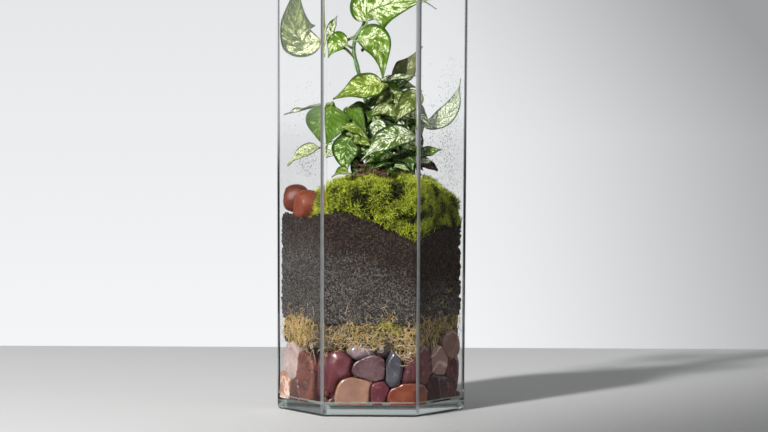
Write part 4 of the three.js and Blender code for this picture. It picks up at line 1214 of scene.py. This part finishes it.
# Smaller leaves crowd between these, most of them in their shade.
SHADED_LEAVES = (
    ("over_a", "main", 0.62, (1, -8, 204), (14, -10, 209), (29, -8, 209), 4.2, (0, -0.5, 1), 8, 0.55, "cream"),
    ("over_b", "right", 0.95, (17, -6, 198), (8, -8, 202), (-2, -9, 188), 8, (0, -1, 0.4), 14, 0.25, "deep"),
    ("over_c", "left", 0.8, (-15, -7, 189), (-10, -12, 188), (-3, -16, 172), 5, (0, -1, 0.4), 14, 0.2, "plain"),
    ("over_d", "left", 0.6, (-17, -12, 177), (-10, -16, 178), (-1, -18, 168), 3.4, (0, -1, 0.5), 16, 0.4, "yellow"),
    ("over_e", "left", 0.55, (-14, -13, 173), (-10, -18, 172), (-8, -19, 160), 4.4, (0, -1, 0.4), 16, 0.3, "fresh"),
    ("over_j", "left", 0.4, (-9, -14, 162), (-4, -20, 164), (4, -26, 156), 4, (0, -0.8, 0.8), 16, 0.3, "deep"),
    ("over_k", "main", 0.2, (8, -16, 152), (16, -22, 155), (24, -26, 150), 4.4, (0, -0.8, 0.8), 14, 0.4, "deep"),
    ("over_l", "main", 0.45, (0, -8, 188), (3, -14, 186), (2, -16, 176), 4.2, (0, -1, 0.3), 16, 0.35, "fresh"),
    ("over_f", "left", 0.5, (-12, -14, 168), (-8, -20, 170), (2, -24, 164), 3.6, (0, -0.8, 0.8), 16, 0.45, "yellow"),
    ("over_g", "right", 0.75, (20, -10, 184), (30, -14, 186), (34, -14, 178), 4.2, (0, -0.8, 0.8), 16, 0.5, "cream"),
    ("over_h", "right", 0.5, (14, -16, 160), (4, -22, 160), (-4, -24, 154), 5, (0, -0.8, 0.6), 16, 0.3, "deep"),
    ("over_i", "right", 0.35, (22, -14, 154), (30, -16, 157), (37, -13, 156), 4.2, (0, -0.8, 0.7), 14, 0.5, "cream"),
    ("behind_a", "right", 0.66, (16, 8, 178), (6, 10, 172), (0, 12, 152), 12, (0, -1, 0.2), 12, 0.2, "shade"),
    ("behind_b", "right", 0.62, (22, 10, 176), (25, 12, 168), (20, 13, 150), 8, (0, -1, 0.2), 12, 0.2, "shade"),
    ("behind_c", "left", 0.3, (-6, 7, 170), (-12, 9, 164), (-10, 10, 148), 9, (0, -1, 0.2), 12, 0.2, "deep"),
    ("behind_e", "right", 0.75, (20, 8, 194), (26, 10, 186), (30, 10, 168), 7.5, (0, -1, 0.2), 12, 0.25, "deep"),
    ("behind_d", "main", 0.52, (4, 8, 196), (12, 10, 192), (14, 11, 172), 9, (0, -1, 0.2), 12, 0.25, "deep"),
    ("under_a", "main", 0.42, (-6, -4, 184), (-10, -8, 178), (-4, -14, 166), 7, (0, -1, 0.4), 14, 0.25, "deep"),
    ("under_b", "main", 0.36, (0, -6, 178), (6, -10, 176), (12, -14, 160), 6.4, (0, -1, 0.4), 12, 0.2, "shade"),
    ("under_c", "right", 0.8, (6, -4, 188), (12, -8, 190), (20, -14, 178), 7, (0, -1, 0.5), 12, 0.3, "deep"),
    ("under_d", "main", 0.32, (-3, -12, 172), (-8, -16, 168), (-2, -20, 156), 4.4, (0, -1, 0.4), 18, 0.4, "fresh"),
    ("under_e", "right", 0.16, (12, -10, 154), (14, -20, 156), (10, -28, 147), 8, (0, -0.9, 0.6), 10, 0.2, "shade"),
    ("under_f", "main", 0.14, (-2, -8, 152), (-8, -16, 154), (-12, -24, 147), 7, (0, -0.9, 0.6), 12, 0.25, "deep"),
    ("under_g", "right", 0.26, (17, -8, 156), (25, -12, 157), (31, -14, 150), 5.6, (0, -0.9, 0.6), 14, 0.2, "shade"),
    ("under_h", "right", 0.3, (15, 8, 160), (22, 12, 164), (29, 12, 158), 6.4, (0, -1, 0.5), 12, 0.2, "shade"),
    ("under_i", "left", 0.45, (-10, 6, 164), (-18, 10, 166), (-28, 8, 160), 7, (0, -1, 0.5), 12, 0.25, "deep"),
    ("under_j", "right", 0.7, (24, 8, 180), (28, 9, 186), (35, 8, 179), 6, (0, -1, 0.3), 12, 0.3, "yellow"),
    ("under_k", "left", 0.7, (-12, 4, 180), (-18, 8, 184), (-24, 8, 172), 6, (0, -1, 0.3), 12, 0.3, "deep"),
    ("under_l", "right", 0.42, (18, -10, 168), (24, -14, 168), (33, -17, 160), 5.4, (0, -1, 0.5), 14, 0.45, "fresh"),
    ("under_m", "main", 0.5, (2, -4, 196), (8, -8, 200), (14, -12, 190), 6, (0, -1, 0.5), 12, 0.2, "shade"),
    ("under_n", "main", 0.08, (2, -10, 146), (0, -18, 148), (-4, -26, 145), 6, (0, -0.8, 0.8), 12, 0.15, "shade"),
    ("under_o", "main", 0.1, (10, 8, 148), (22, 12, 154), (30, 14, 147), 8, (0, -1, 0.4), 12, 0.15, "shade"),
)
for order, row in enumerate(SHADED_LEAVES):
    grow_leaf(40 + order, *row, extra=True)


# ---------------------------------------------------------------- the condensation
# Fine drops of water that have settled on the inside of the glass, mostly on the
# right wall above the moss, where the plant's breath cools.

# Number of drops, direction in degrees and its spread, lowest and highest millimetre.
MISTS = (
    (2300, -14, 9, 136, 222), (420, -140, 9, 146, 166), (420, -28, 12, 146, 196), (240, 60, 20, 150, 220),
    (240, 150, 20, 150, 220),
)
chance = np.random.default_rng(43)
drops = []
for count, direction, spread, low, high in MISTS:
    for _ in range(count):
        angle = math.radians(direction + chance.normal(0, spread))
        z = (low + (high - low) * chance.beta(1.6, 1.9)) * MM
        size = min(chance.gamma(2.2, 0.065) + 0.07, 0.42) * MM
        facing = np.array(Matrix.Rotation(angle, 3, "Z"))
        verts = (crumb_verts * (0.3, 1, 1.1) * size) @ facing.T + by_the_glass(angle, z, 0.3 * size)
        drops.append(([Vector(v) for v in verts], crumb_faces, 0.5, 0.0))
water = gather("condensation", drops)
shade_round(water)
set_piece(water, clear_shell("condensation", (0.97, 0.985, 1.0), 1.33, 0.03, (0.93, 0.95, 0.96)), "clear_glass")


# ---------------------------------------------------------------- the table and the light
# The vase stands near the far edge of a pale matt table, in front of a light wall.
# One lamp at the front left gives the long shadow, and the room fills the rest.

TABLE_SIZE = Vector((6, 3.507, 0.04))
FAR_EDGE = 507 * MM  # behind the middle of the vase
TABLE_TOP = -0.3 * MM
bpy.ops.object.select_all(action="DESELECT")
bpy.ops.mesh.primitive_cube_add(size=1, location=(0, FAR_EDGE - TABLE_SIZE.y / 2, TABLE_TOP - TABLE_SIZE.z / 2))
table = bpy.context.object
table.name = "table"
table.scale = TABLE_SIZE
bpy.ops.object.transform_apply(location=True, rotation=True, scale=True)
add_modifier(table, "BEVEL", width=2 * MM, segments=2)
paint = Finish("table_paint")
paint_grain = paint.noise(paint.place(), 420, 3, 0.6)
paint_face = paint.shader(
    Base_Color=paint.mix(paint_grain, (0.555, 0.555, 0.55), (0.585, 0.585, 0.58)),
    Roughness=paint.ramp(paint_grain, 0.3, 0.7, 0.55, 0.65), Normal=paint.bump(paint_grain, 0.1 * MM, 0.3))
# Its own reflection in the glass is held back, as a polarising filter does.
mirrored = paint.math("COMPARE", paint.node("LightPath", "Glossy Depth"), 1.0, 0.5)
paint_mirrored = paint.node("BsdfDiffuse", Color=(0.11, 0.11, 0.11))
table.data.materials.append(paint.close(paint.blend(mirrored, paint_face, paint_mirrored)))

sky = Finish("studio", "World")
side, ahead, up = sky.make("SeparateXYZ", (), {0: sky.node("TexCoord", "Generated")}).outputs
room = sky.math("MULTIPLY", sky.ramp(side, -0.8, 0.5, 0.22, 0.12), sky.ramp(ahead, -0.9, -0.3, 0.4, 1.0))
# A light band goes round the room at eye level, but for the part that the front pane would mirror.
band = sky.math("MULTIPLY", sky.ramp(ahead, -0.96, -0.85), sky.window(up, -0.02, 0.04, 0.12, 0.3))
room = sky.math("MULTIPLY_ADD", band, 0.35, room)
room = sky.math("ADD", room, sky.ramp(up, 0.15, 0.8, 0, 0.14))
# The wall behind the vase is lightest near the table, and the lamp's light ends on it in a slant.
dusk = sky.math("MULTIPLY_ADD", sky.math("MAXIMUM", up, 0.0), 0.55, side)
wall = sky.math("SUBTRACT", sky.math("MULTIPLY_ADD", up, -0.93, 0.86), sky.ramp(dusk, 0.0, 0.19, 0, 0.55))
wall = sky.math("MAXIMUM", wall, 0.3)
# To both sides, above the table, the wall is light again: the side panes mirror it.
flank = sky.math("MULTIPLY", sky.ramp(sky.math("ABSOLUTE", side), 0.6, 0.75), sky.ramp(ahead, 0.2, 0.4))
flank = sky.math("MULTIPLY", flank, sky.window(up, -0.012, 0.012, 0.2, 0.5))
room = sky.math("MAXIMUM", room, sky.math("MULTIPLY", flank, 0.9))
room = sky.math("MULTIPLY", room, sky.ramp(up, -0.02, 0.01, 0.35, 1.0))
on_wall = sky.math("MULTIPLY", sky.ramp(ahead, 0.6, 0.93), sky.ramp(up, 0.25, 0.6, 1, 0))
brightness = sky.mix(on_wall, sky.grey(room), sky.grey(wall))
# Where the room is looked at straight, or through the glass, it is never darker than a light grey.
bounces = sky.math("ADD", sky.node("LightPath", "Glossy Depth"), sky.node("LightPath", "Diffuse Depth"))
least = sky.math("MULTIPLY_ADD", sky.math("MINIMUM", bounces, 1.0), -0.35, 0.35)
brightness = sky.mix(1.0, brightness, sky.grey(least), "LIGHTEN")
tinted = sky.mix(1.0, brightness, (0.975, 0.985, 1.0), "MULTIPLY")
bpy.context.scene.world = sky.close(sky.node("Background", Color=tinted, Strength=1.0))


def hang_lamp(name, place, aim, angle, blend, size, energy):
    lamp = bpy.data.lights.new(name, "SPOT")
    lamp.spot_size, lamp.spot_blend, lamp.shadow_soft_size, lamp.energy = math.radians(angle), blend, size, energy
    hung = bpy.data.objects.new(name, lamp)
    bpy.context.scene.collection.objects.link(hung)
    hung.location = place
    hung.rotation_euler = (Vector(aim) - Vector(place)).to_track_quat("-Z", "Y").to_euler()
    return hung


# The key lamp's soft edge crosses the table at the right of the vase.
hang_lamp("key_lamp", (-1.44, -2.18, 1.45), (-1.11, 0.48, 0), angle=55.6, blend=0.3, size=0.13, energy=655)
# A wide lamp at the right lifts the moss there out of the shade, and two low ones behind do
# the same for the back. None of the three shows in the glass.
for name, place, aim_at, energy in (
    ("fill_lamp", (1.6, -1.1, 0.14), (0.02, 0, 0.14), 240),
    ("back_lamp_left", (-1.1, 1.5, 0.22), (0, 0, 0.15), 70),
    ("back_lamp_right", (1.1, 1.5, 0.22), (0, 0, 0.15), 55),
):
    hidden = hang_lamp(name, place, aim_at, angle=13, blend=0.6, size=0.3, energy=energy)
    hidden.visible_camera = hidden.visible_glossy = hidden.visible_transmission = False

# The camera stands 1.7 m in front of the vase, at about half its height, and looks a little down.
lens = bpy.data.cameras.new("camera")
lens.lens = 127.0595
lens.sensor_width = 36
lens.clip_start = 0.01
camera = bpy.data.objects.new("camera", lens)
bpy.context.scene.collection.objects.link(camera)
left_turn, down_tilt, roll = (math.radians(angle) for angle in (0.55352, 1.64372, 0.21679))
camera.matrix_world = (
    Matrix.Translation((0.02421, -1.69985, 0.17011)) @ Matrix.Rotation(left_turn, 4, "Z")
    @ Matrix.Rotation(math.pi / 2 - down_tilt, 4, "X") @ Matrix.Rotation(roll, 4, "Z")
)
bpy.context.scene.camera = camera
bpy.context.scene.view_settings.view_transform = "Standard"
